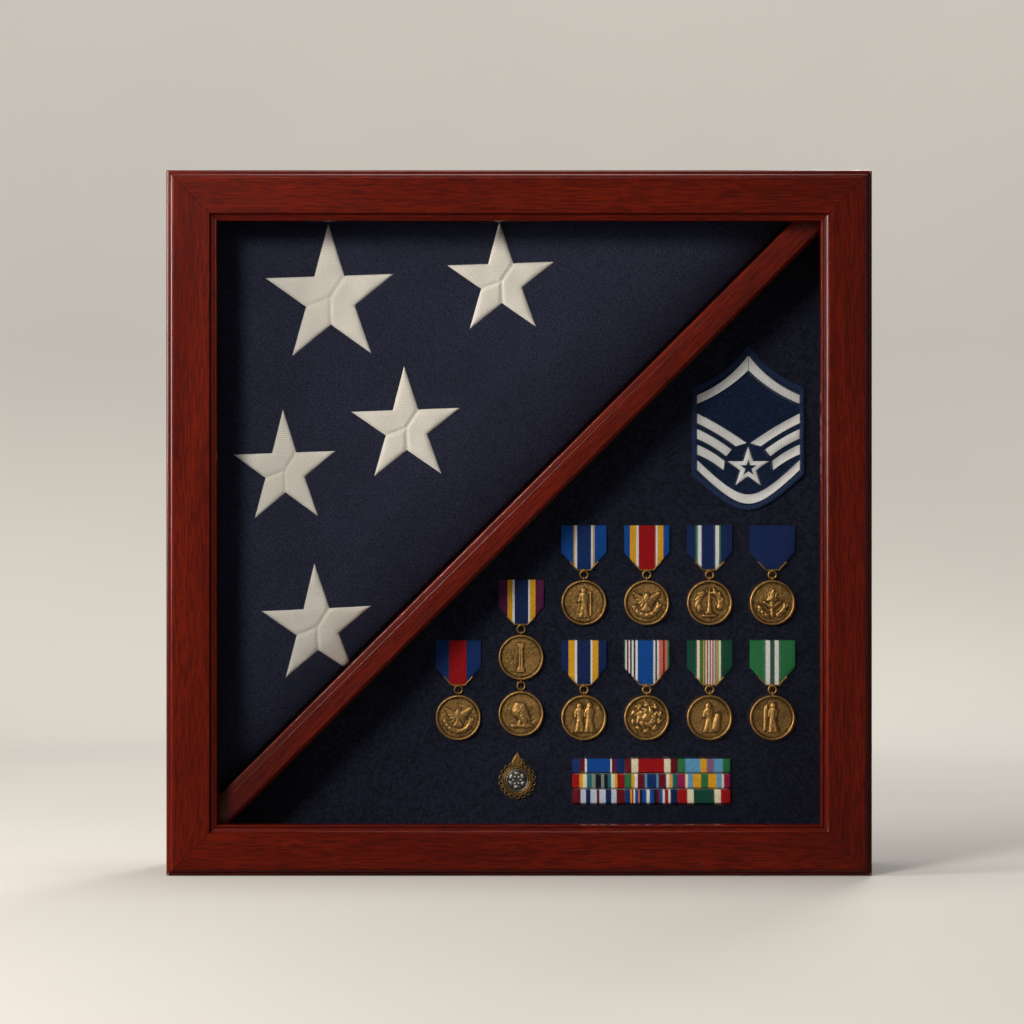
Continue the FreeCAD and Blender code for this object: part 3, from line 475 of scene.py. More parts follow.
def group(name, inputs, outputs, fill):
    """Node group built once, with its sockets given as names and kinds in turn."""
    if name in bpy.data.node_groups:
        return bpy.data.node_groups[name]
    tree = bpy.data.node_groups.new(name, "ShaderNodeTree")
    for side, text in (("INPUT", inputs), ("OUTPUT", outputs)):
        words = text.split()
        for label, kind in zip(words[0::2], words[1::2]):
            tree.interface.new_socket(label, in_out=side, socket_type="NodeSocket" + kind)
    entry = tree.nodes.new("NodeGroupInput").outputs
    leave = tree.nodes.new("NodeGroupOutput").inputs
    for label, value in fill(tree, entry).items():
        tree.links.new(value, leave[label])
    return tree


def streaky(tree, vector, along, across, detail):
    """Noise that is drawn out along the X axis."""
    return noise(tree, stretched(tree, vector, along, across, across), scale=1.0, detail=detail)


def grain_fill(tree, entry):
    place = entry["Vector"]
    bands = spread(tree, streaky(tree, place, along=5.0, across=60.0, detail=4.0), 0.3, 0.75)
    streaks = spread(tree, streaky(tree, place, along=30.0, across=420.0, detail=3.0), 0.45, 0.75)
    fibres = streaky(tree, place, along=60.0, across=800.0, detail=3.0)
    pores = spread(tree, streaky(tree, place, along=120.0, across=1400.0, detail=1.0), 0.6, 0.74)
    body = mixed(tree, bands, entry["Middle"], entry["Light"])
    body = mixed(tree, maths(tree, "MULTIPLY", streaks, 0.28), body, entry["Dark"])
    body = mixed(tree, spread(tree, fibres, 0.35, 0.7, 0.0, 0.6), body, entry["Dark"])
    body = mixed(tree, maths(tree, "MULTIPLY", pores, 0.5), body, entry["Dark"])
    rough = spread(tree, fibres, 0.2, 0.8, 0.17, 0.28)
    height = maths(tree, "SUBTRACT", maths(tree, "MULTIPLY", fibres, 0.4), pores)
    return {"Color": body, "Roughness": rough, "Height": height}


def wood_grain():
    inputs = "Vector Vector Dark Color Middle Color Light Color"
    outputs = "Color Color Roughness Float Height Float"
    return group("wood_grain", inputs, outputs, grain_fill)


def weave_fill(tree, entry):
    place = entry["Vector"]
    parts = add(tree, "SeparateXYZ", {0: place})
    wander = noise(tree, place, scale=260.0, detail=2.0)
    shift = maths(tree, "MULTIPLY", wander, 0.003)
    slant = maths(tree, "ADD", maths(tree, "ADD", parts.outputs["X"], parts.outputs["Z"]), shift)
    turns = maths(tree, "DIVIDE", 2 * math.pi, entry["Pitch"])
    ribs = maths(tree, "SINE", maths(tree, "MULTIPLY", slant, turns))
    finer = maths(tree, "MULTIPLY", turns, 1.7)
    weft = maths(tree, "SINE", maths(tree, "MULTIPLY", parts.outputs["Z"], finer))
    crossed = maths(tree, "ADD", ribs, maths(tree, "MULTIPLY", weft, 0.5))
    threads = maths(tree, "MULTIPLY_ADD", crossed, 0.33)
    fuzz = noise(tree, place, scale=900.0, detail=4.0, roughness=0.7)
    grain = spread(tree, noise(tree, place, scale=entry["Grain"], detail=2.0), 0.3, 0.7)
    height = maths(tree, "ADD", maths(tree, "ADD", threads, grain), maths(tree, "MULTIPLY", fuzz, 0.4))
    broad = noise(tree, place, scale=16.0, detail=3.0)
    # Low threads of the weave are painted in the shade colour, a painted shade in its hollows; broad
    # clouds then turn parts of it to that colour at random
    weave_with_painted_shade = mixed(tree, spread(tree, height, 0.35, 2.0), entry["Shade"], entry["Color"])
    clouded = mixed(tree, spread(tree, broad, 0.3, 0.75, 0.0, 0.28), weave_with_painted_shade, entry["Shade"])
    return {"Color": clouded, "Height": height}


def weave():
    inputs = "Vector Vector Color Color Shade Color Pitch Float Grain Float"
    outputs = "Color Color Height Float"
    return group("twill_weave", inputs, outputs, weave_fill)


def thread_fill(tree, entry):
    lines = maths(tree, "SINE", maths(tree, "DIVIDE", entry["Along"], entry["Pitch"]))
    fuzz = noise(tree, entry["Vector"], scale=480.0, detail=4.0, roughness=0.7)
    height = maths(tree, "ADD", maths(tree, "MULTIPLY", lines, 0.35), fuzz)
    broad = noise(tree, entry["Vector"], scale=60.0, detail=2.0)
    # Grooves between the stitches are painted in the shade colour, a painted shade, with broad random
    # clouds added
    shade = maths(tree, "ADD", spread(tree, height, 0.15, 0.85), maths(tree, "MULTIPLY", broad, 0.4))
    return {"Color": mixed(tree, shade, entry["Shade"], entry["Color"]), "Height": height}


def thread():
    inputs = "Vector Vector Along Float Pitch Float Color Color Shade Color"
    outputs = "Color Color Height Float"
    return group("laid_thread", inputs, outputs, thread_fill)


def metal_fill(tree, entry):
    place = entry["Vector"]
    cloud = noise(tree, place, scale=90.0, detail=5.0, roughness=0.65)
    grit = spread(tree, noise(tree, place, scale=560.0, detail=3.0, roughness=0.6), 0.28, 0.72)
    worn = maths(tree, "ADD", entry["Raised"], maths(tree, "MULTIPLY", cloud, 0.5))
    share = spread(tree, maths(tree, "ADD", worn, maths(tree, "MULTIPLY", grit, 0.3)), 0.3, 1.15)
    rough = spread(tree, cloud, 0.25, 0.75, 0.34, 0.5)
    return {"Color": mixed(tree, share, entry["Dark"], entry["Color"]), "Roughness": rough, "Height": grit}


def aged_metal():
    inputs = "Vector Vector Raised Float Color Color Dark Color"
    outputs = "Color Color Roughness Float Height Float"
    return group("aged_metal", inputs, outputs, metal_fill)


def place_group(tree, made, **values):
    """Puts a node group in a material and gives its inputs their values."""
    holder = tree.nodes.new("ShaderNodeGroup")
    holder.node_tree = made
    fill_inputs(tree, holder, values)
    return holder.outputs


def begin(name, **constants):
    """New material with the shader's own plain values."""
    material = bpy.data.materials.new(name)
    material.use_nodes = True
    tree = material.node_tree
    shader = tree.nodes["Principled BSDF"]
    for label, value in constants.items():
        shader.inputs[label.replace("_", " ")].default_value = value
    place = add(tree, "TexCoord").outputs["Object"]
    return material, tree, shader, place


def finish_shader(tree, shader, colour, height, depth, roughness=None):
    tree.links.new(colour, shader.inputs["Base Color"])
    if roughness is not None:
        tree.links.new(roughness, shader.inputs["Roughness"])
    bump = add(tree, "Bump", {"Height": height, "Distance": depth, "Strength": 1.0})
    tree.links.new(bump.outputs[0], shader.inputs["Normal"])


def wood_material(name, turn, dark, middle, light, coat):
    """Wood whose grain is turned from the X axis about Y by some degrees."""
    if name in bpy.data.materials:
        return bpy.data.materials[name]
    material, tree, shader, place = begin(
        name, Coat_Weight=coat, Coat_Roughness=0.2, Specular_IOR_Level=0.1
    )
    along = add(tree, "Mapping", {"Vector": place, "Rotation": (0.0, math.radians(turn), 0.0)}).outputs[0]
    wood = place_group(tree, wood_grain(), Vector=along, Dark=dark, Middle=middle, Light=light)
    finish_shader(
        tree, shader, wood["Color"], wood["Height"], depth=0.00002, roughness=wood["Roughness"]
    )
    return material


def mahogany(turn):
    shade = bpy.context.scene.flag_case_colours
    colours = (shade.wood_dark, shade.wood_middle, shade.wood_light)
    return wood_material("mahogany_" + str(turn), turn, *colours, coat=0.4)


def pine(turn):
    shade = bpy.context.scene.flag_case_colours
    colours = (shade.pine_dark, shade.pine_light, shade.pine_light)
    return wood_material("pine_" + str(turn), turn, *colours, coat=0.0)


def cloth_material(name, colour, pitch, depth, grain):
    if name in bpy.data.materials:
        return bpy.data.materials[name]
    material, tree, shader, place = begin(name, Roughness=0.95, Specular_IOR_Level=0.02)
    # Darker copy of the cloth, painted shade in the weave's hollows and the colour of its random clouds
    shade = darker(colour, 0.3)
    cloth = place_group(tree, weave(), Vector=place, Color=colour, Shade=shade, Pitch=pitch, Grain=grain)
    finish_shader(tree, shader, cloth["Color"], cloth["Height"], depth)
    return material


def thread_material(name, colour, shade, pitch, along, depth=0.00025):
    """Laid thread that repeats along an attribute, or along X or a UV where one is named."""
    if name in bpy.data.materials:
        return bpy.data.materials[name]
    material, tree, shader, place = begin(name, Roughness=0.7, Specular_IOR_Level=0.1)
    if along == "X":
        step = add(tree, "SeparateXYZ", {0: place}).outputs["X"]
    elif along == "UV":
        parts = add(tree, "SeparateXYZ", {0: add(tree, "UVMap").outputs[0]})
        step = maths(tree, "ADD", parts.outputs["X"], maths(tree, "MULTIPLY", parts.outputs["Y"], 0.006))
    else:
        step = add(tree, "Attribute", attribute_name=along).outputs["Fac"]
    # The shade colour paints the grooves between the threads as painted shade
    lines = place_group(
        tree, thread(), Vector=place, Along=step, Pitch=pitch / (2 * math.pi), Color=colour, Shade=shade
    )
    finish_shader(tree, shader, lines["Color"], lines["Height"], depth)
    return material


# How worn a metal is all over where no relief says so, from 0 for dark to 1 for bright
EVEN_SHINE = 0.55


def metal_material(name, colour, dark, raised=None, depth=0.00003):
    """Aged metal that is lighter where the named attribute stands high."""
    if name in bpy.data.materials:
        return bpy.data.materials[name]
    material, tree, shader, place = begin(name, Metallic=1.0)
    height = EVEN_SHINE
    if raised:
        height = add(tree, "Attribute", attribute_name=raised).outputs["Fac"]
    metal = place_group(tree, aged_metal(), Vector=place, Raised=height, Color=colour, Dark=dark)
    finish_shader(tree, shader, metal["Color"], metal["Height"], depth, metal["Roughness"])
    return material


def brass():
    shade = bpy.context.scene.flag_case_colours
    return metal_material("bright_brass", shade.brass, shade.brass_dark)


def steel():
    shade = bpy.context.scene.flag_case_colours
    return metal_material("plated_steel", shade.steel, shade.steel_dark)


def striped_cloth():
    """Ribbon cloth whose stripes come from the piece's own colours."""
    name = "striped_ribbon"
    if name in bpy.data.materials:
        return bpy.data.materials[name]
    material, tree, shader, place = begin(name, Roughness=0.7, Specular_IOR_Level=0.1)
    stripe = add(tree, "Attribute", attribute_name="stripe").outputs["Color"]
    parts = add(tree, "SeparateXYZ", {0: place})
    ribs = waves(tree, parts.outputs["Z"], pitch=0.0014)
    warp = waves(tree, parts.outputs["X"], pitch=0.0011)
    height = maths(tree, "ADD", ribs, maths(tree, "MULTIPLY", warp, 0.4))
    fuzz = noise(tree, place, scale=500.0, detail=3.0)
    # Colour follows the rib height, a painted shade in the hollows between the ribs; the fuzz adds random
    # tone
    painted_rib_shade = maths(tree, "MULTIPLY", height, 0.14)
    light = maths(tree, "ADD", painted_rib_shade, spread(tree, fuzz, 0.2, 0.8, 0.74, 0.98))
    grey = add(tree, "CombineColor", {0: light, 1: light, 2: light}).outputs[0]
    colour = mixed(tree, 1.0, stripe, grey, "MULTIPLY")
    finish_shader(tree, shader, colour, height, depth=0.00006)
    return material


def speckled(name, colour, dark, scale, roughness, depth):
    """Card, fibre board or rubber with a fine speckle."""
    if name in bpy.data.materials:
        return bpy.data.materials[name]
    material, tree, shader, place = begin(name, Roughness=roughness, Specular_IOR_Level=0.3)
    fine = noise(tree, place, scale, detail=5.0, roughness=0.7)
    broad = noise(tree, place, scale * 0.05, detail=3.0)
    share = maths(tree, "ADD", spread(tree, fine, 0.3, 0.7, 0.0, 0.8), maths(tree, "MULTIPLY", broad, 0.3))
    finish_shader(tree, shader, mixed(tree, share, dark, colour), fine, depth)
    return material


# Moulding and box


def moulding_section(sizes):
    """Section of the bottom member: width up from its outer edge, height forward from its back."""
    depth = MOULDING_BACK - MOULDING_FRONT
    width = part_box("bottom_moulding")[1][2]
    low_bead = depth - 2 * sizes.quirk - sizes.upper_bead - sizes.outer_bead
    second = sizes.outer_bead + sizes.bead_step
    flat = second + sizes.upper_bead
    cove_foot = width - 2 * sizes.lip_bead - sizes.quirk
    cove_top = depth - sizes.quirk
    lip_foot = cove_top - sizes.cove - sizes.lip_bead
    section = [(0.0, 0.0)]
    section += arc_points((sizes.outer_bead, low_bead), sizes.outer_bead, 180, 90, 8)
    section += [(second, low_bead + sizes.outer_bead)]
    section += arc_points((flat, cove_top - sizes.upper_bead), sizes.upper_bead, 180, 90, 8)
    section += [(flat, depth), (cove_foot - sizes.cove, depth)]
    section += arc_points((cove_foot, cove_top), sizes.cove, 180, 270, 8)
    section += [(width - 2 * sizes.lip_bead, cove_top - sizes.cove)]
    section += arc_points((width - sizes.lip_bead, lip_foot), sizes.lip_bead, 180, 0, 8)
    section += [(width, sizes.rabbet_depth), (width - sizes.rabbet_width, sizes.rabbet_depth)]
    section += [(width - sizes.rabbet_width, 0.0)]
    return section


class CASE_OT_moulding(bpy.types.Operator):
    """Models the four mitred members of the front moulding"""

    bl_idname = "flag_case.moulding"
    bl_label = "Front moulding"

    def execute(self, context):
        sizes = context.scene.flag_case_sizes
        corners = [Vector((CASE_LEFT, MOULDING_BACK - h, w)) for w, h in moulding_section(sizes)]
        bottom = outlined("moulding_bottom", corners)
        extrude_all(bottom, (CASE_RIGHT - CASE_LEFT, 0.0, 0.0))
        cut_off(bottom, (CASE_LEFT + sizes.mitre_gap, 0.0, 0.0), (-1.0, 0.0, 1.0))
        cut_off(bottom, (CASE_RIGHT - sizes.mitre_gap, 0.0, 0.0), (1.0, 0.0, 1.0))
        round_edges(bottom, width=0.00022, segments=1)
        smooth(bottom, angle=20.0)
        settle(bottom, mahogany(0), stands_for=["bottom_moulding"])
        middle = Matrix.Translation((0.0, 0.0, CASE_HALF))
        for side, turn in (("left", 90), ("top", 180), ("right", 270)):
            about = middle @ Matrix.Rotation(math.radians(turn), 4, "Y") @ middle.inverted()
            member = turned_copy(bottom, "moulding_" + side, about)
            settle(member, mahogany(turn % 180), stands_for=[side + "_moulding"])
        return {"FINISHED"}


class CASE_OT_divider(bpy.types.Operator):
    """Models the beaded divider that runs across the case"""

    bl_idname = "flag_case.divider"
    bl_label = "Divider"

    def execute(self, context):
        sizes = context.scene.flag_case_sizes
        low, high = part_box("divider")
        front, back = low[1], high[1]
        upper, lower = sizes.divider_upper, -sizes.divider_lower
        bead, bead_drop, slope, bevel = 0.0020, 0.0006, 0.0048, 0.0025
        flat_drop, groove_depth, groove_half = 0.0002, 0.0005, 0.0004
        flat = front + flat_drop
        groove = upper - slope - groove_half
        section = [(lower, back), (upper, back)]
        section += arc_points((upper - bead, front + bead_drop + bead), bead, 0, -90, 8)
        section += [(groove + groove_half, flat), (groove, flat + groove_depth)]
        section += [(groove - groove_half, flat), (lower + bevel, flat), (lower, front + bevel)]
        start = -2 * CASE_HALF
        corners = [
            Vector(((start - across) / ROOT_TWO, y, CASE_HALF + (start + across) / ROOT_TWO))
            for across, y in section
        ]
        bar = outlined("divider_bar", corners)
        run = 4 * CASE_HALF / ROOT_TWO
        extrude_all(bar, (run, 0.0, run))
        for outer in ((1.0, 0.0, 0.0), (0.0, 0.0, 1.0)):
            cut_off(bar, low, tuple(-value for value in outer))
            cut_off(bar, high, outer)
        round_edges(bar, width=0.0003, segments=1)
        smooth(bar, angle=20.0)
        settle(bar, mahogany(45), stands_for=["divider"])
        return {"FINISHED"}


class CASE_OT_box(bpy.types.Operator):
    """Finishes the box's sides, its inner woods and the back panel"""

    bl_idname = "flag_case.box"
    bl_label = "Box and back panel"

    def execute(self, context):
        shade = context.scene.flag_case_colours
        dress(["top_side", "bottom_side"], mahogany(0), edge=0.0006)
        dress(["left_side", "right_side"], mahogany(90), edge=0.0006)
        dress(["glass_stops", "board_stops"], mahogany(0), edge=0.0004)
        dress(["board_spacers"], pine(0), edge=0.0004)
        dress(["side_dowels", "divider_dowels"], pine(90))
        panel = speckled(
            "fibre_board", shade.fibre_light, shade.fibre_dark, scale=500.0, roughness=0.6, depth=0.00008
        )
        dress(["back_panel"], panel, edge=0.0004)
        grey = darker(shade.card, 0.6)
        card = speckled("grey_card", shade.card, grey, scale=900.0, roughness=0.8, depth=0.00005)
        dress(["medal_board"], card, edge=0.0003)
        dress(["mitre_v_nails", "brooch_bars", "ribbon_rack_holder"], steel())
        return {"FINISHED"}


GLASS_TINT = (0.97, 0.99, 0.98, 1.0)


class CASE_OT_glass(bpy.types.Operator):
    """Makes the front pane clear"""

    bl_idname = "flag_case.glass"
    bl_label = "Glass pane"

    def execute(self, context):
        material, tree, shader, place = begin(
            "clear_glass", Transmission_Weight=1.0, IOR=1.45, Alpha=0.06, Coat_Roughness=0.0
        )
        shader.inputs["Base Color"].default_value = GLASS_TINT
        dust = spread(tree, noise(tree, place, scale=55.0, detail=4.0), 0.3, 0.8, 0.01, 0.04)
        tree.links.new(dust, shader.inputs["Roughness"])
        dress(["glass_pane"], material)
        return {"FINISHED"}


# Flag

# Filling of the flag's pad: voxel size, first shrinking, pressure, steps and longest move
PAD_VOXEL = 0.005
PAD_SHRINK = 0.002
SWELL_PRESSURE = 4.0
SWELL_STEPS = 20
SWELL_LIMIT = 0.005

# The flag's face falls back beside the divider, and its edge then moves up to the divider
FLAG_FALL = 0.012
FLAG_FALL_REACH = 0.018
FLAG_CLEARANCE = 0.0003
CLOSING_REACH = 0.02

# How far the filled flag may bulge out of its solid at the front
FLAG_BULGE = 0.0015

# Slanting flap on the flag's back: slope, height at the left, softness of its edge and half its step
FLAP_SLOPE = 0.62
FLAP_START = 0.27
FLAP_SOFTNESS = 0.0012
FLAP_STEP = 0.0006

# Soft creases on the flag's face: start, end, half width and depth in millimetres
FLAG_CREASES = (
    (-242, 400, -120, 380, 14, 0.9),
    (-242, 250, -150, 300, 12, 0.8),
    (-110, 505, -60, 420, 13, 0.8),
    (-60, 400, 90, 500, 12, 0.7),
    (-200, 150, -120, 260, 10, 0.9),
    (-235, 130, -215, 300, 9, 0.7),
    (-150, 380, -40, 290, 12, 0.7),
    (120, 512, 200, 495, 9, 0.6),
)


def swell(piece, limit):
    """Fills the pad with light pressure and caps how far each point may move."""
    rest = points_of(piece)
    held = piece.vertex_groups.new(name="Held sides")
    sides = [point.index for point in piece.data.vertices if abs(point.normal.y) < 0.8]
    held.add(sides, 1.0, "REPLACE")
    cloth = piece.modifiers.new("Cloth", "CLOTH")
    cloth.settings.vertex_group_mass = held.name
    cloth.settings.use_pressure = True
    cloth.settings.uniform_pressure_force = SWELL_PRESSURE
    cloth.settings.effector_weights.gravity = 0.0
    cloth.settings.quality = 4
    cloth.point_cache.frame_start = 1
    cloth.point_cache.frame_end = SWELL_STEPS
    scene = bpy.context.scene
    for step in range(1, SWELL_STEPS + 1):
        scene.frame_set(step)
    activate(piece)
    bpy.ops.object.modifier_apply(modifier=cloth.name)
    move = points_of(piece) - rest
    length = numpy.linalg.norm(move, axis=1, keepdims=True)
    place_points(piece, rest + move * numpy.minimum(1.0, limit / numpy.maximum(length, 1e-9)))
    scene.frame_set(1)


def across_divider(points):
    """Distance of points from the case's diagonal, to the upper left."""
    return (points[:, 2] - CASE_HALF - points[:, 0]) / ROOT_TWO


def crease_depth(x, z):
    total = numpy.zeros_like(x)
    for x0, z0, x1, z1, width, depth in FLAG_CREASES:
        start = numpy.array((x0, z0)) * MM
        run = numpy.array((x1, z1)) * MM - start
        share = numpy.clip(((x - start[0]) * run[0] + (z - start[1]) * run[1]) / run.dot(run), 0, 1)
        away = numpy.hypot(x - start[0] - share * run[0], z - start[1] - share * run[1])
        fade = numpy.sin(numpy.pi * numpy.clip(share, 0.04, 0.96))
        total += depth * MM * fade * numpy.exp(-((away / (width * MM)) ** 2))
    return total


def edge_fall(points, edge):
    """How far the flag's face falls back towards the divider."""
    away = numpy.maximum(0.0, across_divider(points) - edge)
    return FLAG_FALL * numpy.exp(-away / FLAG_FALL_REACH)


class CASE_OT_flag(bpy.types.Operator):
    """Models the folded flag as a filled, soft-edged pad"""

    bl_idname = "flag_case.flag"
    bl_label = "Folded flag"

    def execute(self, context):
        shade = context.scene.flag_case_colours
        low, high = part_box("flag")
        pad = bpy.data.objects.new("flag_pad", NODES["flag"].data.copy())
        context.collection.objects.link(pad)
        pad.data.name = "flag_pad"
        activate(pad)
        pad.data.remesh_voxel_size = PAD_VOXEL
        bpy.ops.object.voxel_remesh()
        with editing(pad):
            bpy.ops.mesh.select_all(action="SELECT")
            bpy.ops.transform.shrink_fatten(value=-PAD_SHRINK)
            bpy.ops.mesh.vertices_smooth(factor=0.5, repeat=4)
        swell(pad, SWELL_LIMIT)
        apply(pad, "SUBSURF", levels=1, render_levels=1)
        points = points_of(pad)
        facing = numpy.empty(len(points) * 3)
        pad.data.vertices.foreach_get("normal", facing)
        rearward = facing.reshape(-1, 3)[:, 1]
        forward, backward = numpy.clip(-rearward, 0.0, 1.0), numpy.clip(rearward, 0.0, 1.0)
        x, z = points[:, 0], points[:, 2]
        edge = context.scene.flag_case_sizes.divider_upper + FLAG_CLEARANCE
        depth_left = (high[1] - points[:, 1]) / (high[1] - low[1])
        points[:, 1] += forward * crease_depth(x, z) + depth_left * edge_fall(points, edge)
        flap = numpy.tanh((FLAP_SLOPE * (x - low[0]) - (z - FLAP_START)) / FLAP_SOFTNESS)
        points[:, 1] -= backward * FLAP_STEP * (1.0 - flap)
        points[:, 0] = numpy.maximum(x, low[0])
        points[:, 1] = numpy.clip(points[:, 1], low[1] - FLAG_BULGE, high[1])
        points[:, 2] = numpy.minimum(z, high[2])
        short = numpy.maximum(0.0, edge - across_divider(points)) / ROOT_TWO
        points[:, 0] -= short
        points[:, 2] += short
        nearest = across_divider(points).min()
        close = (nearest - edge) * numpy.exp((nearest - across_divider(points)) / CLOSING_REACH) / ROOT_TWO
        points[:, 0] += close
        points[:, 2] -= close
        place_points(pad, points)
        smooth_all(pad)
        cloth = cloth_material("flag_twill", shade.flag, pitch=0.0023, depth=0.00018, grain=850.0)
        settle(pad, cloth, stands_for=["flag"])
        return {"FINISHED"}


def star_corners(radius, turn, stretch=1.0):
    """Ten corners of a five-pointed star, point and inner corner in turn, anticlockwise from the top."""
    corners = []
    for step in range(10):
        angle = math.pi / 2 + math.radians(turn) + step * math.pi / 5
        reach = radius * (STAR_INNER_RATIO if step % 2 else 1.0)
        if step == 0 and stretch > 1.0:
            reach *= STAR_TOP_REACH
        corners.append((reach * math.cos(angle), stretch * reach * math.sin(angle)))
    return numpy.array(corners)


def star_fan(name, x, z, corners, cuts):
    """Star filled with a fine fan of faces that look to the front, in its own plane."""
    deselect()
    bpy.ops.mesh.primitive_circle_add(vertices=10, fill_type="TRIFAN")
    star = named(name)
    points = numpy.zeros((11, 3))
    points[1:, 0] = corners[:, 0]
    points[1:, 2] = corners[:, 1]
    points += (x, 0.0, z)
    place_points(star, points)
    with editing(star):
        bpy.ops.mesh.select_all(action="SELECT")
        bpy.ops.mesh.subdivide(number_cuts=cuts)
        bpy.ops.mesh.tris_convert_to_quads()
    return star


def edge_distance(local, corners):
    """Distance of points to the nearest side of a closed outline."""
    nearest = numpy.full(len(local), 1.0)
    for start, end in zip(corners, numpy.roll(corners, -1, axis=0)):
        run = end - start
        share = numpy.clip((local - start) @ run / run.dot(run), 0, 1)
        nearest = numpy.minimum(nearest, numpy.linalg.norm(local - start - share[:, None] * run, axis=1))
    return nearest


def arm_of(local, turn):
    """Distance along the nearest arm of a star."""
    angle = numpy.arctan2(local[:, 1], local[:, 0]) - math.pi / 2 - math.radians(turn)
    arm = numpy.round(angle / (2 * math.pi / 5)) * (2 * math.pi / 5)
    return numpy.linalg.norm(local, axis=1) * numpy.cos(angle - arm)


# Inner corners that a star's creases run to, counted anticlockwise from the upper left one
STAR_CREASES = (1, 2, 4)
STAR_CREASE_WIDTH = 0.0013
STAR_CREASE_FADE = 0.002
STAR_EDGE_REACH = 0.0014
STAR_CLEARANCE = 0.0018
STAR_SINK = 0.0002
STAR_THICKNESS = 0.0006

# Small ripples along a star's arms: height, length and how far from the edge they are full
RIPPLE_HEIGHT = 0.0003
RIPPLE_LENGTH = 0.0045
RIPPLE_FADE = 0.003

# Place on the Y axis, in front of the flag, that stars are dropped onto it from
DROP_START = -0.2


def star_crease(local, corners, width):
    """How deep in a crease each point lies, from 0 to 1."""
    depth = numpy.zeros(len(local))
    for place in STAR_CREASES:
        end = corners[2 * place + 1]
        share = numpy.clip(local @ end / end.dot(end), 0, 1)
        away = numpy.linalg.norm(local - share[:, None] * end, axis=1)
        depth = numpy.maximum(depth, numpy.exp(-((away / width) ** 2)))
    return depth


class CASE_OT_stars(bpy.types.Operator):
    """Models the five sewn stars on the folded flag"""

    bl_idname = "flag_case.stars"
    bl_label = "Flag stars"

    def execute(self, context):
        sizes = context.scene.flag_case_sizes
        shade = context.scene.flag_case_colours
        pad = bpy.data.objects["flag_pad"]
        surface = BVHTree.FromObject(pad, context.evaluated_depsgraph_get())
        # Darker copy of the star thread, painted shade in the grooves between its stitches
        painted_groove_shade = darker(shade.star, 0.78)
        white = thread_material(
            "star_stitching", shade.star, painted_groove_shade, pitch=0.0016, along="stitch", depth=0.00016
        )
        edge = sizes.divider_upper + STAR_CLEARANCE
        beside_divider = (-edge / ROOT_TWO, 0.0, CASE_HALF + edge / ROOT_TWO)
        for number, (x, z, radius, turn, stretch) in enumerate(FLAG_STARS, 1):
            corners = star_corners(radius, turn, stretch)
            star = star_fan("flag_star_" + str(number), x, z, corners, cuts=22)
            cut_off(star, beside_divider, (1.0, 0.0, -1.0), fill=False)
            points = points_of(star)
            local = points[:, (0, 2)] - (x, z)
            inside = edge_distance(local, corners)
            along = arm_of(local, turn)
            height = sizes.star_height * (1.0 - numpy.exp(-inside / STAR_EDGE_REACH))
            crease = star_crease(local, corners, STAR_CREASE_WIDTH)
            crease *= numpy.clip(inside / STAR_CREASE_FADE, 0, 1)
            ripple = numpy.sin(along / RIPPLE_LENGTH + number) * numpy.clip(inside / RIPPLE_FADE, 0, 1)
            height += RIPPLE_HEIGHT * ripple - sizes.star_crease * crease
            for index, point in enumerate(points):
                start = Vector((point[0], DROP_START, point[2]))
                hit = surface.ray_cast(start, Vector((0.0, 1.0, 0.0)))[0]
                points[index, 1] = (hit.y if hit else 0.0) + STAR_SINK - height[index]
            place_points(star, points)
            value_on_points(star, "stitch", along)
            apply(star, "SOLIDIFY", thickness=STAR_THICKNESS, offset=-1.0)
            with editing(star):
                face_outwards()
            smooth_all(star)
            settle(star, white, stands_for=["flag_stars"])
        return {"FINISHED"}


# Medal board


class CASE_OT_board_cloth(bpy.types.Operator):
    """Stretches the dark cloth over the medal board and round its edges"""

    bl_idname = "flag_case.board_cloth"
    bl_label = "Board cloth"

    def execute(self, context):
        shade = context.scene.flag_case_colours
        low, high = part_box("board_cloth")
        left, right, foot, top = low[0], high[0], low[2], high[2]
        corners = [(x, low[1], z) for x, z in ((left, foot), (right, foot), (right, top))]
        sheet = outlined("board_cover", corners)
        extrude_all(sheet, (0.0, high[1] - low[1], 0.0))
        round_edges(sheet, width=0.0007, segments=3)
        with editing(sheet, "FACE"):
            pick_faces(sheet, lambda face: face.normal.y > 0.9)
            bpy.ops.mesh.delete(type="ONLY_FACE")
        apply(sheet, "SOLIDIFY", thickness=0.0006, offset=-1.0)
        smooth(sheet)
        cloth = cloth_material("board_twill", shade.board, pitch=0.0018, depth=0.00022, grain=460.0)
        settle(sheet, cloth, stands_for=["board_cloth"])
        return {"FINISHED"}


# Ribbons

# How far a ribbon's face stands forward, bulges and ripples, and how far its tip goes back
RIBBON_FACE = 0.0006
RIBBON_BULGE = 0.0005
RIBBON_RIPPLE = 0.00012
RIBBON_TUCK = 0.0004
RIBBON_THICKNESS = 0.0007

# Length of a ribbon's ripples, and start and run of its tip's way back as shares of its height
RIBBON_WAVE = 0.0037
TUCK_START = 0.85
TUCK_RUN = 0.15

# Gap between two ribbon bars, the fall of a bar's ends and its reach, and the bar's thickness
RACK_GAP = 0.0006
RACK_END_FALL = 0.0005
RACK_END_REACH = 0.0008
RACK_THICKNESS = 0.0005

# Gap behind a bar, and the shares of its half height that stay flat and roll back
RACK_BACK_GAP = 0.0002
RACK_FLAT = 0.72
RACK_ROLL = 0.28


def stripes_of(text):
    """Colours and left edges of stripes, as shares of the width, from words and numbers in turn."""
    words = text.split()
    names = words[0::2]
    widths = numpy.array([float(word) for word in words[1::2]])
    edges = numpy.concatenate(([0.0], numpy.cumsum(widths))) / widths.sum()
    return names, edges


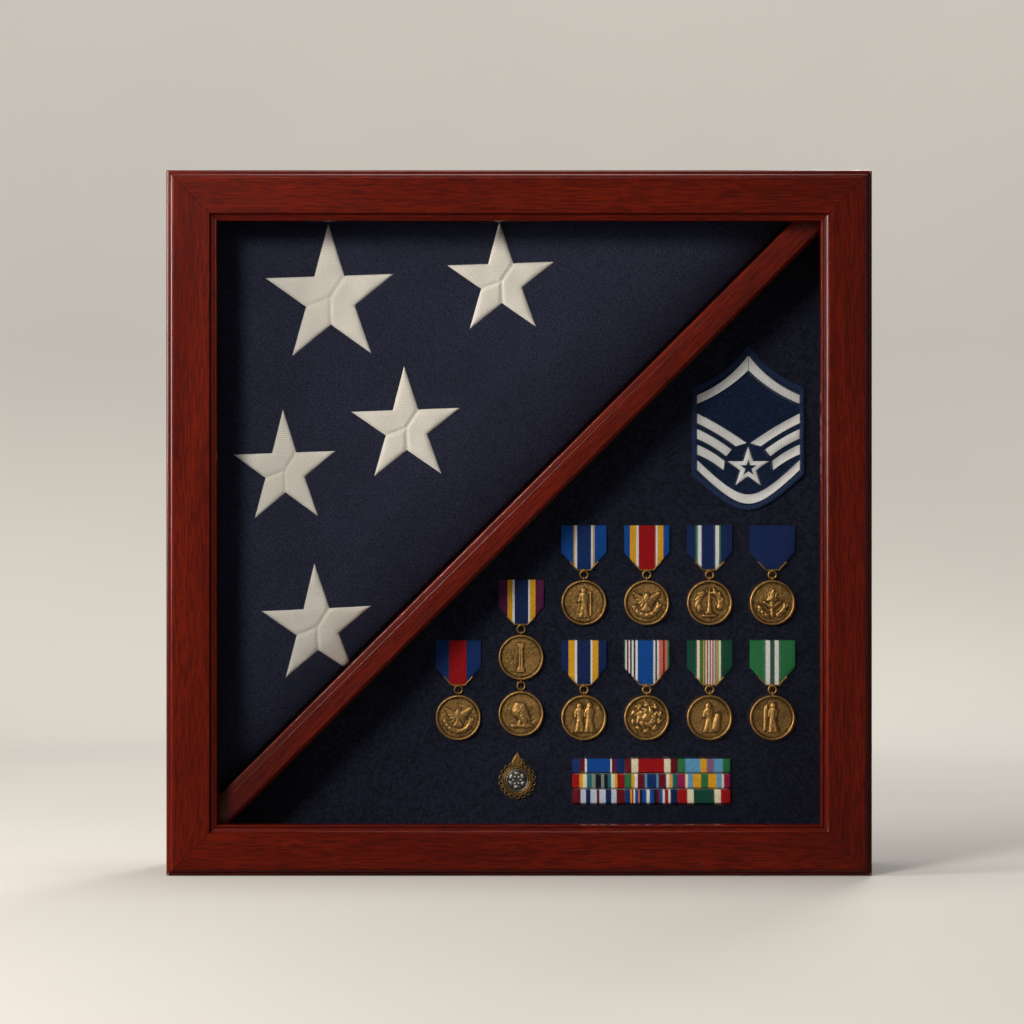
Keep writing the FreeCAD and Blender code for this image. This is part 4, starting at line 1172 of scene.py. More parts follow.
def striped_grid(name, stripes, rows, across=2):
    """Unit grid whose columns follow the stripes, coloured face by face."""
    names, edges = stripes_of(stripes)
    columns = []
    owners = []
    for index in range(len(names)):
        count = max(across, int(round((edges[index + 1] - edges[index]) * 16)))
        columns += list(numpy.linspace(edges[index], edges[index + 1], count + 1)[:-1])
        owners += [names[index]] * count
    columns = numpy.array(columns + [1.0])
    deselect()
    bpy.ops.mesh.primitive_grid_add(x_subdivisions=len(owners), y_subdivisions=rows, size=1.0)
    piece = named(name)
    points = points_of(piece)
    step = numpy.round((points[:, 0] + 0.5) * len(owners)).astype(int)
    shares = numpy.stack((columns[step], points[:, 1] + 0.5), axis=1)
    palette = bpy.context.scene.flag_case_ribbons
    layer = piece.data.color_attributes.new("stripe", "FLOAT_COLOR", "CORNER")
    for face in piece.data.polygons:
        column = int((face.center.x + 0.5) * len(owners))
        shade = (*getattr(palette, owners[column]), 1.0)
        for corner in face.loop_indices:
            layer.data[corner].color = shade
    return piece, shares


class CASE_OT_ribbons(bpy.types.Operator):
    """Models the ten folded medal ribbons with their woven stripes"""

    bl_idname = "flag_case.ribbons"
    bl_label = "Medal ribbons"

    def execute(self, context):
        sizes = context.scene.flag_case_sizes
        cloth = striped_cloth()
        for number, stripes in enumerate(RIBBON_STRIPES, 1):
            node = "ribbon_" + str(number)
            low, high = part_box(node)
            top = high[2]
            middle = middle_of(node)[0]
            half = (high[0] - low[0]) / 2
            ribbon, shares = striped_grid("medal_" + node, stripes, rows=18)
            x = (shares[:, 0] * 2 - 1) * half
            down = 1.0 - shares[:, 1]
            tip = sizes.ribbon_tip / 2
            slope = numpy.clip((half - numpy.abs(x)) / (half - tip), 0, 1)
            bottom = sizes.ribbon_shoulder + (sizes.ribbon_length - sizes.ribbon_shoulder) * slope
            z = top - down * bottom
            back = CLOTH_Y - sizes.ribbon_stand
            bulge = (1 - (x / half) ** 4) * numpy.sin(numpy.pi * numpy.clip(down, 0.02, 0.98))
            ripple = numpy.sin(x / RIBBON_WAVE + number) * down
            tuck = numpy.clip((down - TUCK_START) / TUCK_RUN, 0, 1) ** 2
            y = back - RIBBON_FACE - RIBBON_BULGE * bulge - RIBBON_RIPPLE * ripple + RIBBON_TUCK * tuck
            place_points(ribbon, numpy.stack((x + middle, y, z), axis=1))
            with editing(ribbon):
                bpy.ops.mesh.select_all(action="SELECT")
                bpy.ops.mesh.remove_doubles(threshold=1e-6)
            apply(ribbon, "SOLIDIFY", thickness=RIBBON_THICKNESS, offset=-1.0)
            smooth(ribbon, angle=50.0)
            settle(ribbon, cloth, stands_for=[node])
            area = 2 * half * sizes.ribbon_shoulder
            area += (half + tip) * (sizes.ribbon_length - sizes.ribbon_shoulder)
        return {"FINISHED"}


class CASE_OT_ribbon_rack(bpy.types.Operator):
    """Models the three rows of striped ribbon bars"""

    bl_idname = "flag_case.ribbon_rack"
    bl_label = "Ribbon bars"

    def execute(self, context):
        low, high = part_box("ribbon_bars")
        rows = len(RACK_STRIPES) // RACK_COLUMNS
        wide = (high[0] - low[0] + RACK_GAP) / RACK_COLUMNS
        tall = (high[2] - low[2] + RACK_GAP) / rows
        depth = high[1] - low[1]
        cloth = striped_cloth()
        for number, stripes in enumerate(RACK_STRIPES):
            row, column = divmod(number, RACK_COLUMNS)
            bar, shares = striped_grid("ribbon_bar_" + str(number + 1), stripes, rows=10)
            across, up = shares[:, 0], shares[:, 1]
            x = low[0] + column * wide + across * (wide - RACK_GAP)
            roll = numpy.abs(2 * up - 1)
            z = high[2] - row * tall - (tall - RACK_GAP) * (1 - up)
            y = low[1] + (depth - RACK_BACK_GAP) * numpy.clip((roll - RACK_FLAT) / RACK_ROLL, 0, 1) ** 3
            side = numpy.minimum(across, 1 - across) * (wide - RACK_GAP)
            y += RACK_END_FALL * numpy.clip(1 - side / RACK_END_REACH, 0, 1)
            place_points(bar, numpy.stack((x, y, z), axis=1))
            apply(bar, "SOLIDIFY", thickness=RACK_THICKNESS, offset=-1.0)
            smooth(bar, angle=50.0)
            settle(bar, cloth, stands_for=["ribbon_bars"])
        return {"FINISHED"}


# Medals

MEDAL_RECESS = 0.0012

# Relief strokes: widening of each half width, height of the thinnest and its rise with the half width
STROKE_WIDENING = 1.35
STROKE_BASE = 0.35
STROKE_RISE = 3.2

# Shares of a struck field: where its relief ends, the run it fades over, and where the ground ends
RELIEF_END = 0.97
RELIEF_FADE = 0.06
GROUND_END = 0.95

# Uneven ground of a medal: height as a share of the relief, and turns across and up
LUMP_HEIGHT = 0.05
LUMP_TURNS = (37, 31)

# Dark hollows: height they stay under, margin round the relief, and start and run at the rim
HOLLOW_HEIGHT = 0.08
HOLLOW_MARGIN = 0.09
HOLLOW_START = 0.86
HOLLOW_RUN = 0.12

# How worn a medal's ground, relief, hollows, rim and lugs are, from 0 for dark to 1 for bright
GROUND_SHINE = 0.45
RELIEF_SHINE = 0.5
HOLLOW_SHINE = 0.4
RIM_SHINE = 0.85
LUG_SHINE = 0.7

LUG_RADIUS = 0.0013
LUG_WIRE = 0.00045

# Loop that joins a ring to its ribbon, and the wire under the ribbon's tip: drops, radii and run
LOOP_RADIUS = 0.0011
LOOP_WIRE = 0.0004
LOOP_DROP = 0.0007
RING_DROP = 0.0009
WIRE_RADIUS = 0.00042
WIRE_DROP = 0.0003
WIRE_RUN = 0.006

# Shares of the wire's run from its end to the ribbon's tip, and how far it bows forward there
WIRE_BOW = ((1.0, 0.0), (0.5, 0.0004), (0.0, 0.0005))


def stroke(local, x0, z0, x1, z1, start, end, margin=0.0):
    """Rounded ridge between two points that tapers from one half width to another, from 0 to 1."""
    begin_at = numpy.array((x0, z0))
    run = numpy.array((x1, z1)) - begin_at
    share = numpy.clip((local - begin_at) @ run / max(run.dot(run), 1e-9), 0, 1)
    away = numpy.linalg.norm(local - begin_at - share[:, None] * run, axis=1)
    half = STROKE_WIDENING * (start + (end - start) * share) + margin
    rise = numpy.sqrt(numpy.clip(1.0 - (away / half) ** 2, 0, 1))
    return rise * numpy.clip(STROKE_BASE + STROKE_RISE * half, 0, 1)


def both_sides(strokes):
    return strokes + [(-x0, z0, -x1, z1, a, b) for x0, z0, x1, z1, a, b in strokes]


def leaves(radius, start, end, count, length, width):
    """Leaves laid along a part of a circle, in pairs."""
    strokes = []
    for angle in numpy.radians(numpy.linspace(start, end, count)):
        x, z = radius * math.cos(angle), radius * math.sin(angle)
        for lean in (0.5, -0.5):
            turn = angle + math.pi / 2 + lean
            tip = (x + length * math.cos(turn), z + length * math.sin(turn))
            strokes.append((x, z, *tip, width, 0.3 * width))
    return strokes


def robed_figure(x, lean):
    """Standing figure in a long robe, with a plain round head."""
    return [
        (x, 0.56, x + 0.01, 0.58, 0.1, 0.1),
        (x - 0.08, 0.36, x + 0.08, 0.36, 0.08, 0.08),
        (x, 0.36, x + lean * 0.3, 0.02, 0.12, 0.11),
        (x + lean * 0.3, 0.0, x - 0.1, -0.6, 0.1, 0.08),
        (x + lean * 0.3, 0.0, x + 0.13, -0.58, 0.1, 0.08),
        (x - 0.16, 0.34, x - 0.22, 0.06, 0.055, 0.045),
        (x + 0.16, 0.34, x + 0.12, 0.06, 0.055, 0.045),
        (x - 0.22, -0.68, x + 0.24, -0.68, 0.035, 0.035),
    ]


def spread_bird(z):
    """Bird with raised wings, seen from the front."""
    wings = []
    for step in range(5):
        reach = 0.62 - 0.09 * step
        wings.append((0.08, z + 0.02, reach, z + 0.34 - 0.16 * step, 0.1, 0.04))
    body = [(0.0, z + 0.1, 0.0, z - 0.26, 0.13, 0.09), (0.02, z + 0.24, 0.06, z + 0.27, 0.08, 0.05)]
    tail = [(0.0, z - 0.24, 0.14, z - 0.48, 0.06, 0.07), (0.0, z - 0.24, 0.0, z - 0.5, 0.06, 0.07)]
    return both_sides(wings) + body + both_sides(tail)


def plain_column():
    strokes = [(-0.05, -0.5, -0.05, 0.46, 0.045, 0.045), (0.05, -0.5, 0.05, 0.46, 0.045, 0.045)]
    strokes += [(-0.1, 0.54, 0.1, 0.54, 0.05, 0.05), (-0.13, 0.64, 0.13, 0.64, 0.04, 0.04)]
    return strokes + [(-0.12, -0.58, 0.12, -0.58, 0.05, 0.05), (-0.15, -0.68, 0.15, -0.68, 0.035, 0.035)]


def flaming_torch():
    strokes = [(0.0, -0.66, 0.0, 0.08, 0.05, 0.09), (-0.16, 0.14, 0.16, 0.14, 0.07, 0.07)]
    strokes += [(-0.02, 0.2, 0.06, 0.62, 0.14, 0.03), (0.06, 0.2, -0.1, 0.5, 0.1, 0.03)]
    return strokes + both_sides([(0.1, 0.2, 0.2, 0.44, 0.07, 0.02), (0.08, -0.2, 0.4, 0.02, 0.07, 0.04)])


def tall_spire():
    strokes = [(0.0, -0.46, 0.0, 0.7, 0.08, 0.012), (-0.14, -0.5, 0.14, -0.5, 0.045, 0.045)]
    return strokes + [(-0.28, -0.64, 0.28, -0.64, 0.045, 0.045)]


MEDAL_MOTIFS = (
    robed_figure(0.0, 0.1) + [(0.34, -0.6, 0.34, 0.5, 0.03, 0.03)],
    leaves(0.62, 200, 340, 7, 0.2, 0.08) + spread_bird(0.12),
    tall_spire() + leaves(0.55, 125, 205, 4, 0.24, 0.09) + leaves(0.55, 335, 415, 4, 0.24, 0.09),
    flaming_torch() + leaves(0.66, 200, 245, 3, 0.2, 0.07) + leaves(0.66, 295, 340, 3, 0.2, 0.07),
    plain_column(),
    spread_bird(0.1) + leaves(0.66, 195, 345, 9, 0.18, 0.07),
    robed_figure(-0.2, 0.05) + robed_figure(0.28, -0.05),
    leaves(0.34, 0, 320, 8, 0.3, 0.1)
    + leaves(0.66, 10, 340, 10, 0.2, 0.07)
    + [(0, 0, 0.02, 0, 0.18, 0.18)],
    robed_figure(-0.05, 0.2) + [(0.3, -0.5, 0.42, 0.1, 0.16, 0.1)],
    robed_figure(0.05, -0.1)
    + [(-0.36, -0.6, -0.3, 0.42, 0.05, 0.09), (-0.3, 0.45, -0.26, 0.6, 0.09, 0.03)],
    [(-0.1, 0.1, 0.16, -0.34, 0.24, 0.12), (-0.12, 0.36, -0.16, 0.4, 0.14, 0.12)]
    + [(-0.24, 0.38, -0.36, 0.32, 0.06, 0.03), (0.04, 0.3, 0.42, -0.3, 0.16, 0.05)]
    + [(0.14, -0.36, 0.3, -0.66, 0.1, 0.05), (-0.06, -0.36, -0.1, -0.56, 0.05, 0.04)]
    + [(-0.4, -0.6, 0.5, -0.6, 0.06, 0.05)],
)


def relief_of(local, strokes, margin=0.0):
    height = numpy.zeros(len(local))
    for values in strokes:
        height = numpy.maximum(height, stroke(local, *values, margin))
    return height


def struck_disc(name, radius, rim, front, back, recess):
    """Round piece with a beaded rim, begun as a sphere whose poles are its two faces."""
    segments, field, bead, edge, rear = 128, 40, 10, 3, 7
    deselect()
    bpy.ops.mesh.primitive_uv_sphere_add(segments=segments, ring_count=field + bead + edge + rear)
    disc = named(name)
    inner = radius - 2 * rim
    profile = [(inner * step / field, front + recess) for step in range(field)]
    for angle in numpy.linspace(math.pi, 0.0, bead + 1):
        profile.append((radius - rim + rim * math.cos(angle), front + rim - rim * math.sin(angle)))
    profile += [(radius, front + rim + (back - front - rim) * step / edge) for step in range(1, edge)]
    profile += [(radius * (1 - step / rear), back) for step in range(rear + 1)]
    profile = numpy.array(profile)
    points = points_of(disc)
    rings = len(profile) - 1
    polar = numpy.arccos(numpy.clip(points[:, 2], -1, 1))
    step = numpy.round(polar / math.pi * rings).astype(int)
    angle = numpy.arctan2(points[:, 1], points[:, 0])
    reach = profile[step, 0]
    across, up = reach * numpy.cos(angle), reach * numpy.sin(angle)
    place_points(disc, numpy.stack((across, profile[step, 1], up), axis=1))
    return disc, step <= field


class CASE_OT_medals(bpy.types.Operator):
    """Models the eleven bronze medals, each with its own relief and lug"""

    bl_idname = "flag_case.medals"
    bl_label = "Medals"

    def execute(self, context):
        sizes = context.scene.flag_case_sizes
        shade = context.scene.flag_case_colours
        bronze = metal_material(
            "struck_bronze", shade.bronze, shade.bronze_dark, raised="relief", depth=0.00018
        )
        low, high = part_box("medal_1")
        front, back = low[1], high[1]
        middle_y = middle_of("suspension_rings")[1]
        rim = sizes.medal_rim
        blank, on_face = struck_disc("medal_blank", sizes.medal_radius, rim, front, back, MEDAL_RECESS)
        field = sizes.medal_radius - 2 * rim
        for number, motif in enumerate(MEDAL_MOTIFS, 1):
            node = "medal_" + str(number)
            low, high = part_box(node)
            x = middle_of(node)[0]
            lugs = [1.0]
            middle = low[2] + sizes.medal_radius
            if number == DOUBLE_LUG:
                lugs = [1.0, -1.0]
                middle = (low[2] + high[2]) / 2
            medal = turned_copy(blank, "bronze_" + node, Matrix.Identity(4))
            points = points_of(medal)
            local = points[:, (0, 2)] / field
            away = numpy.linalg.norm(local, axis=1)
            fade = numpy.clip((RELIEF_END - away) / RELIEF_FADE, 0, 1)
            height = numpy.where(on_face, relief_of(local, motif), 0.0) * fade
            across, up = numpy.sin(local * LUMP_TURNS + (number, 2 * number)).T
            lumps = LUMP_HEIGHT * across * up * (away < GROUND_END)
            points[:, 1] -= sizes.relief * (height + numpy.where(on_face, lumps, 0.0))
            sunk = (height < HOLLOW_HEIGHT) * relief_of(local, motif, HOLLOW_MARGIN)
            hollow = numpy.maximum(numpy.clip((away - HOLLOW_START) / HOLLOW_RUN, 0, 1), sunk)
            worn = GROUND_SHINE + RELIEF_SHINE * height - HOLLOW_SHINE * hollow
            raised = numpy.where(on_face, worn, RIM_SHINE)
            place_points(medal, points + (x, 0.0, middle))
            value_on_points(medal, "relief", raised)
            smooth(medal, angle=60.0)
            parts = [medal]
            for side in lugs:
                centre = (x, middle_y, middle + side * (sizes.medal_radius + LUG_RADIUS))
                lug = ring("medal_lug", centre, LUG_RADIUS, LUG_WIRE, "X", segments=24, sides=10)
                value_on_points(lug, "relief", numpy.full(len(lug.data.vertices), LUG_SHINE))
                parts.append(lug)
            medal = join("bronze_" + node, parts)
            settle(medal, bronze, body=node + "_body", stands_for=[node])
        bpy.data.objects.remove(blank)
        return {"FINISHED"}


class CASE_OT_rings(bpy.types.Operator):
    """Models the suspension rings and the wires under the ribbons"""

    bl_idname = "flag_case.rings"
    bl_label = "Rings and ribbon wires"

    def execute(self, context):
        sizes = context.scene.flag_case_sizes
        middle_y = middle_of("suspension_rings")[1]
        tip = sizes.ribbon_tip / 2
        for number in range(1, len(RIBBON_STRIPES) + 1):
            node = "ribbon_" + str(number)
            low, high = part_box(node)
            x = middle_of(node)[0]
            half = (high[0] - low[0]) / 2
            foot = high[2] - sizes.ribbon_length
            rise = (sizes.ribbon_length - sizes.ribbon_shoulder) / (half - tip)
            centre = (x, middle_y, foot - RING_DROP - sizes.ring_radius)
            hoop = ring("hoop", centre, sizes.ring_radius, sizes.ring_wire, "Y")
            centre = (x, middle_y, foot - LOOP_DROP)
            loop = ring("loop", centre, LOOP_RADIUS, LOOP_WIRE, "X", segments=24, sides=10)
            branch = []
            for share, bow in WIRE_BOW:
                out = share * WIRE_RUN
                branch.append((tip + out, middle_y - bow, foot + out * rise - WIRE_DROP))
            path = [(x - out, y, z) for out, y, z in branch]
            path.append((x, *branch[-1][1:]))
            path += [(x + out, y, z) for out, y, z in reversed(branch)]
            wire = bent_wire("wire", path, WIRE_RADIUS)
            piece = join("suspension_ring_" + str(number), [hoop, loop, wire])
            settle(piece, brass(), stands_for=["suspension_rings"])
        link = ring("medal_link_ring", middle_of("link_ring"), sizes.ring_radius, sizes.ring_wire, "Y")
        settle(link, brass(), body="medal_5_body", stands_for=["link_ring"])
        return {"FINISHED"}


# Patch, in millimetres from the middle of its foot

# Outline: half width, heights of its lower and upper corners and of its top, and bulge of its roof
PATCH_HALF = 43.8
PATCH_LOW = 28.0
PATCH_HIGH = 94.8
PATCH_TOP = 128.0
PATCH_BULGE = 4.0

# White roof, outer and inner edge: heights of its end and its top, and bulge; then half of its seam
ROOF_OUTER = (89.4, 120.0, 3.4)
ROOF_INNER = (82.9, 108.7, 2.4)
ROOF_SEAM = 0.25

# White chin, lower and upper edge: height of its foot and its end
CHIN_LOWER = (5.3, 31.5)
CHIN_UPPER = (12.4, 39.0)

# White bars: number, outer ends, top of the highest, height, pitch, sag and fall towards the middle
CHEVRON_COUNT = 3
CHEVRON_END = 39.7
CHEVRON_TOP = 75.2
CHEVRON_HEIGHT = 7.4
CHEVRON_PITCH = 12.1
CHEVRON_SAG = 0.9
CHEVRON_FALL = math.tan(math.radians(31.0))

# Bare round field that the star stands in
STAR_FIELD_Z = 33.0
STAR_FIELD_RADIUS = 19.4

# Steps that a bar grows by until it meets the field, and the nearest it comes to the middle
CHEVRON_STEP = 0.1
CHEVRON_STOP = 0.3

# Half width of the border, length of one turn of its thread, and the swell and depth of the turns
BORDER_HALF = 2.0
BORDER_TURN = 1.4
BORDER_SWELL = 0.05
BORDER_DEPTH = 0.95

# Radius of the tube of the unit ring that the border is begun from
BORDER_TUBE = 0.25

# How far the ground's edge lies inside the outline
GROUND_INSET = 2.2

# White stripes in metres: stand in front of the ground, outline, height, and width and rise of the edge
STRIPE_STAND = 0.0002
STRIPE_OUTLINE = 0.0006
STRIPE_HEIGHT = 0.0006
STRIPE_EDGE = 0.0004
STRIPE_EDGE_RISE = 0.00025

# Star in metres: height and reach of its round edges, thickness, and height of its centre
PATCH_STAR_HEIGHT = 0.0009
PATCH_STAR_EDGE = 0.0009
PATCH_STAR_THICKNESS = 0.0004
STAR_CENTRE_HEIGHT = 0.0011
STAR_CENTRE_THICKNESS = 0.0003
STAR_CENTRE_SHARE = 0.4

# Rise of a star's upper side arms above its middle, as an angle in degrees
ARM_RISE = 18.0


def sagging(start, end, sag, steps=10):
    """Points of a shallow curve between two points that sags to its right by a length."""
    start, end = numpy.array(start), numpy.array(end)
    run = end - start
    side = numpy.array((run[1], -run[0])) / numpy.linalg.norm(run)
    shares = numpy.linspace(0, 1, steps + 1)
    return [tuple(start + run * s + side * sag * 4 * s * (1 - s)) for s in shares]


def chin_curve(foot, high, half):
    """Right half of the patch's round chin, from its foot to its corner."""
    shares = numpy.linspace(0, 1, 15)
    rise = (numpy.sqrt(shares**2 + 0.25) - 0.5) / (math.sqrt(1.25) - 0.5)
    return list(zip(half * shares, foot + (high - foot) * rise))


def patch_outline(inset):
    """Shield outline of the patch in millimetres from the middle of its foot, anticlockwise."""
    half = PATCH_HALF - inset
    low, high, top = PATCH_LOW + 0.3 * inset, PATCH_HIGH - 0.4 * inset, PATCH_TOP - 1.3 * inset
    right = chin_curve(inset, low, half) + sagging((half, high), (0, top), -PATCH_BULGE)
    left = [(-x, z) for x, z in reversed(right)]
    return right[:-1] + left[:-1]


def patch_bars():
    """Outlines of the white stripes on the right: half of the roof, half of the chin and three bars."""
    roof = []
    for end, top, bulge in (ROOF_OUTER, ROOF_INNER):
        roof.append(sagging((CHEVRON_END, end), (ROOF_SEAM, top), -bulge))
    chin = chin_curve(*CHIN_LOWER, CHEVRON_END) + chin_curve(*CHIN_UPPER, CHEVRON_END)[::-1]
    outlines = [roof[0] + roof[1][::-1], chin]
    for index in range(CHEVRON_COUNT):
        high = CHEVRON_TOP - CHEVRON_PITCH * index
        ends = []
        for start in (high, high - CHEVRON_HEIGHT):
            reach, z = CHEVRON_END, start
            while math.hypot(reach, z - STAR_FIELD_Z) > STAR_FIELD_RADIUS and reach > CHEVRON_STOP:
                reach -= CHEVRON_STEP
                z = start - (CHEVRON_END - reach) * CHEVRON_FALL
            ends.append(sagging((CHEVRON_END, start), (reach, z), CHEVRON_SAG, steps=6))
        outlines.append(ends[0] + ends[1][::-1])
    return outlines


class CASE_OT_patch(bpy.types.Operator):
    """Models the embroidered chevron patch"""

    bl_idname = "flag_case.patch"
    bl_label = "Chevron patch"

    def execute(self, context):
        shade = context.scene.flag_case_colours
        low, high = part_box("patch_border")
        middle = middle_of("patch_border")[0]
        foot = low[2]
        half_depth = (high[1] - low[1]) / 2

        def at(x, y, z):
            return Vector((middle + x * MM, y, foot + z * MM))

        outline = numpy.array(patch_outline(BORDER_HALF))
        steps = numpy.linalg.norm(numpy.roll(outline, -1, axis=0) - outline, axis=1)
        lengths = numpy.concatenate(([0.0], numpy.cumsum(steps)))
        closed = numpy.vstack((outline, outline[:1]))
        deselect()
        bpy.ops.mesh.primitive_torus_add(
            major_radius=1.0,
            minor_radius=BORDER_TUBE,
            major_segments=240,
            minor_segments=12,
            generate_uvs=True,
        )
        border = named("patch_edge")
        points = points_of(border)
        turn = (numpy.arctan2(points[:, 1], points[:, 0]) / (2 * math.pi)) % 1.0 * lengths[-1]
        out = numpy.hypot(points[:, 0], points[:, 1]) - 1.0

        def along_outline(shift, axis):
            return numpy.interp((turn + shift) % lengths[-1], lengths, closed[:, axis])

        x, z = along_outline(0.0, 0), along_outline(0.0, 1)
        run_x = along_outline(1.0, 0) - along_outline(-1.0, 0)
        run_z = along_outline(1.0, 1) - along_outline(-1.0, 1)
        size = numpy.hypot(run_x, run_z)
        wave = 1.0 + BORDER_SWELL * numpy.sin(turn * 2 * math.pi / BORDER_TURN)
        side = out / BORDER_TUBE * BORDER_HALF * wave
        forward = points[:, 2] / BORDER_TUBE * half_depth * wave * BORDER_DEPTH
        place = numpy.stack(
            (
                middle + (x + run_z / size * side) * MM,
                high[1] - half_depth - forward,
                foot + (z - run_x / size * side) * MM,
            ),
            axis=1,
        )
        place_points(border, place)
        with editing(border):
            face_outwards()
        smooth_all(border)
        # Much darker copy of the border thread, painted shade in the grooves between its turns
        painted_groove_shade = darker(shade.border, 0.15)
        edge_thread = thread_material(
            "border_thread", shade.border, painted_groove_shade, pitch=0.0055, along="UV", depth=0.0006
        )
        settle(border, edge_thread, stands_for=["patch_border"])

        ground_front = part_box("patch_ground")[0][1]
        corners = [at(x, ground_front, z) for x, z in reversed(patch_outline(GROUND_INSET))]
        ground = outlined("patch_cloth", corners)
        extrude_all(ground, (0.0, high[1] - ground_front, 0.0))
        twill = cloth_material("patch_twill", shade.ground, pitch=0.0018, depth=0.00014, grain=650.0)
        settle(ground, twill, stands_for=["patch_ground"])

        # Grey copy of the white thread, painted shade in the grooves between its stitches
        grey = darker(shade.patch_white, 0.7)
        white = thread_material("patch_thread", shade.patch_white, grey, pitch=0.0013, along="X")
        black = cloth_material("outline_thread", shade.outline, pitch=0.0009, depth=0.0001, grain=900.0)
        stripe_front = ground_front - STRIPE_STAND
        stripes = []
        for corners in patch_bars():
            mirrored = [(-x, z) for x, z in corners]
            halves = [corners, mirrored]
            if min(x for x, z in corners) == 0.0:
                middle_run = len(corners) // 2
                halves = [mirrored[middle_run - 1 :: -1] + corners[1:-1] + mirrored[: middle_run - 1 : -1]]
            for ordered in halves:
                stripe = outlined("stripe", [at(x, stripe_front, z) for x, z in ordered])
                with editing(stripe, "FACE"):
                    face_outwards()
                    bpy.ops.mesh.inset(thickness=STRIPE_OUTLINE, use_outset=True)
                stripes.append(stripe)
        white_stripes = join("patch_white_stripes", stripes)
        settle(white_stripes, white, stands_for=["patch_stripes"])
        white_stripes.data.materials.append(black)
        with editing(white_stripes, "FACE"):
            pick_faces(white_stripes, lambda face: len(face.verts) > 4)
            move = (0.0, -STRIPE_HEIGHT, 0.0)
            bpy.ops.mesh.extrude_region_move(TRANSFORM_OT_translate={"value": move})
            bpy.ops.mesh.inset(thickness=STRIPE_EDGE, depth=STRIPE_EDGE_RISE)
        for face in white_stripes.data.polygons:
            face.material_index = int(abs(face.center.y - stripe_front) < MERGE_REACH)
        smooth(white_stripes, angle=50.0)

        star_low, star_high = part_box("patch_star")
        star_x = middle_of("patch_star")[0]
        radius = (star_high[0] - star_low[0]) / 2 / math.cos(math.radians(ARM_RISE))
        star_z = star_high[2] - radius
        corners = star_corners(radius, 0.0)
        star = star_fan("patch_white_star", star_x, star_z, corners, cuts=10)
        points = points_of(star)
        local = points[:, (0, 2)] - (star_x, star_z)
        inside = edge_distance(local, corners)
        along = arm_of(local, 0.0)
        points[:, 1] = ground_front - PATCH_STAR_HEIGHT * (1 - numpy.exp(-inside / PATCH_STAR_EDGE))
        place_points(star, points)
        value_on_points(star, "stitch", along)
        apply(star, "SOLIDIFY", thickness=PATCH_STAR_THICKNESS, offset=-1.0)
        smooth_all(star)
        arm_white = thread_material(
            "patch_star_thread", shade.patch_white, grey, pitch=0.0012, along="stitch", depth=0.0001
        )
        settle(star, arm_white, stands_for=["patch_star"])
        corners = star_corners(radius * STAR_CENTRE_SHARE, 0.0)
        centre = star_fan("patch_star_centre", star_x, star_z, corners, cuts=3)
        points = points_of(centre)
        points[:, 1] = ground_front - STAR_CENTRE_HEIGHT
        place_points(centre, points)
        apply(centre, "SOLIDIFY", thickness=STAR_CENTRE_THICKNESS, offset=-1.0)
        settle(centre, twill)
        return {"FINISHED"}


# Badge

# Radii of the badge's bands, each with its wire's radius
BADGE_BANDS = (("band", 0.0098, 0.0008), ("outer_band", 0.0114, 0.0004))

# Number of curls round the badge, the radius that they stand on, and a curl's radius and wire
BADGE_CURLS = 18
CURL_CIRCLE = 0.0126
CURL_RADIUS = 0.0016
CURL_WIRE = 0.00042

# Leaves at the badge's top: lean in degrees, length and half breadth
BADGE_LEAVES = ((0.0, 0.0122, 0.0034), (-32.0, 0.0076, 0.0030), (32.0, 0.0076, 0.0030))
LEAF_DEPTH = 0.0011
LEAF_FOOT = 0.0100
VEIN_WIDTH = 0.0005
VEIN_DEPTH = 0.0003

# Loop beside the leaves: shift to the right and up from the badge's middle, radius and wire
SIDE_LOOP_RIGHT = 0.0042
SIDE_LOOP_UP = 0.0145
SIDE_LOOP_RADIUS = 0.0017
SIDE_LOOP_WIRE = 0.0003

# Struck centre: radius, rim, depth and radius of the field inside it, and height of the relief
CENTRE_RADIUS = 0.0088
CENTRE_RIM = 0.0006
CENTRE_RECESS = 0.0004
CENTRE_FIELD = 0.0076
CENTRE_RELIEF = 0.001

# How far the centre lies behind its solid's front, and the share of the field that its button takes
CENTRE_SINK = 0.0008
CENTRE_BUTTON = 0.16

# How worn the centre's ground and relief are, from 0 for dark to 1 for bright
CENTRE_GROUND_SHINE = 0.1
CENTRE_RELIEF_SHINE = 0.6

# Rings of six petals on the centre: middle and reach as shares of its field, and turn
CENTRE_PETALS = ((0.36, 0.24, 0.0), (0.68, 0.3, math.pi / 6))


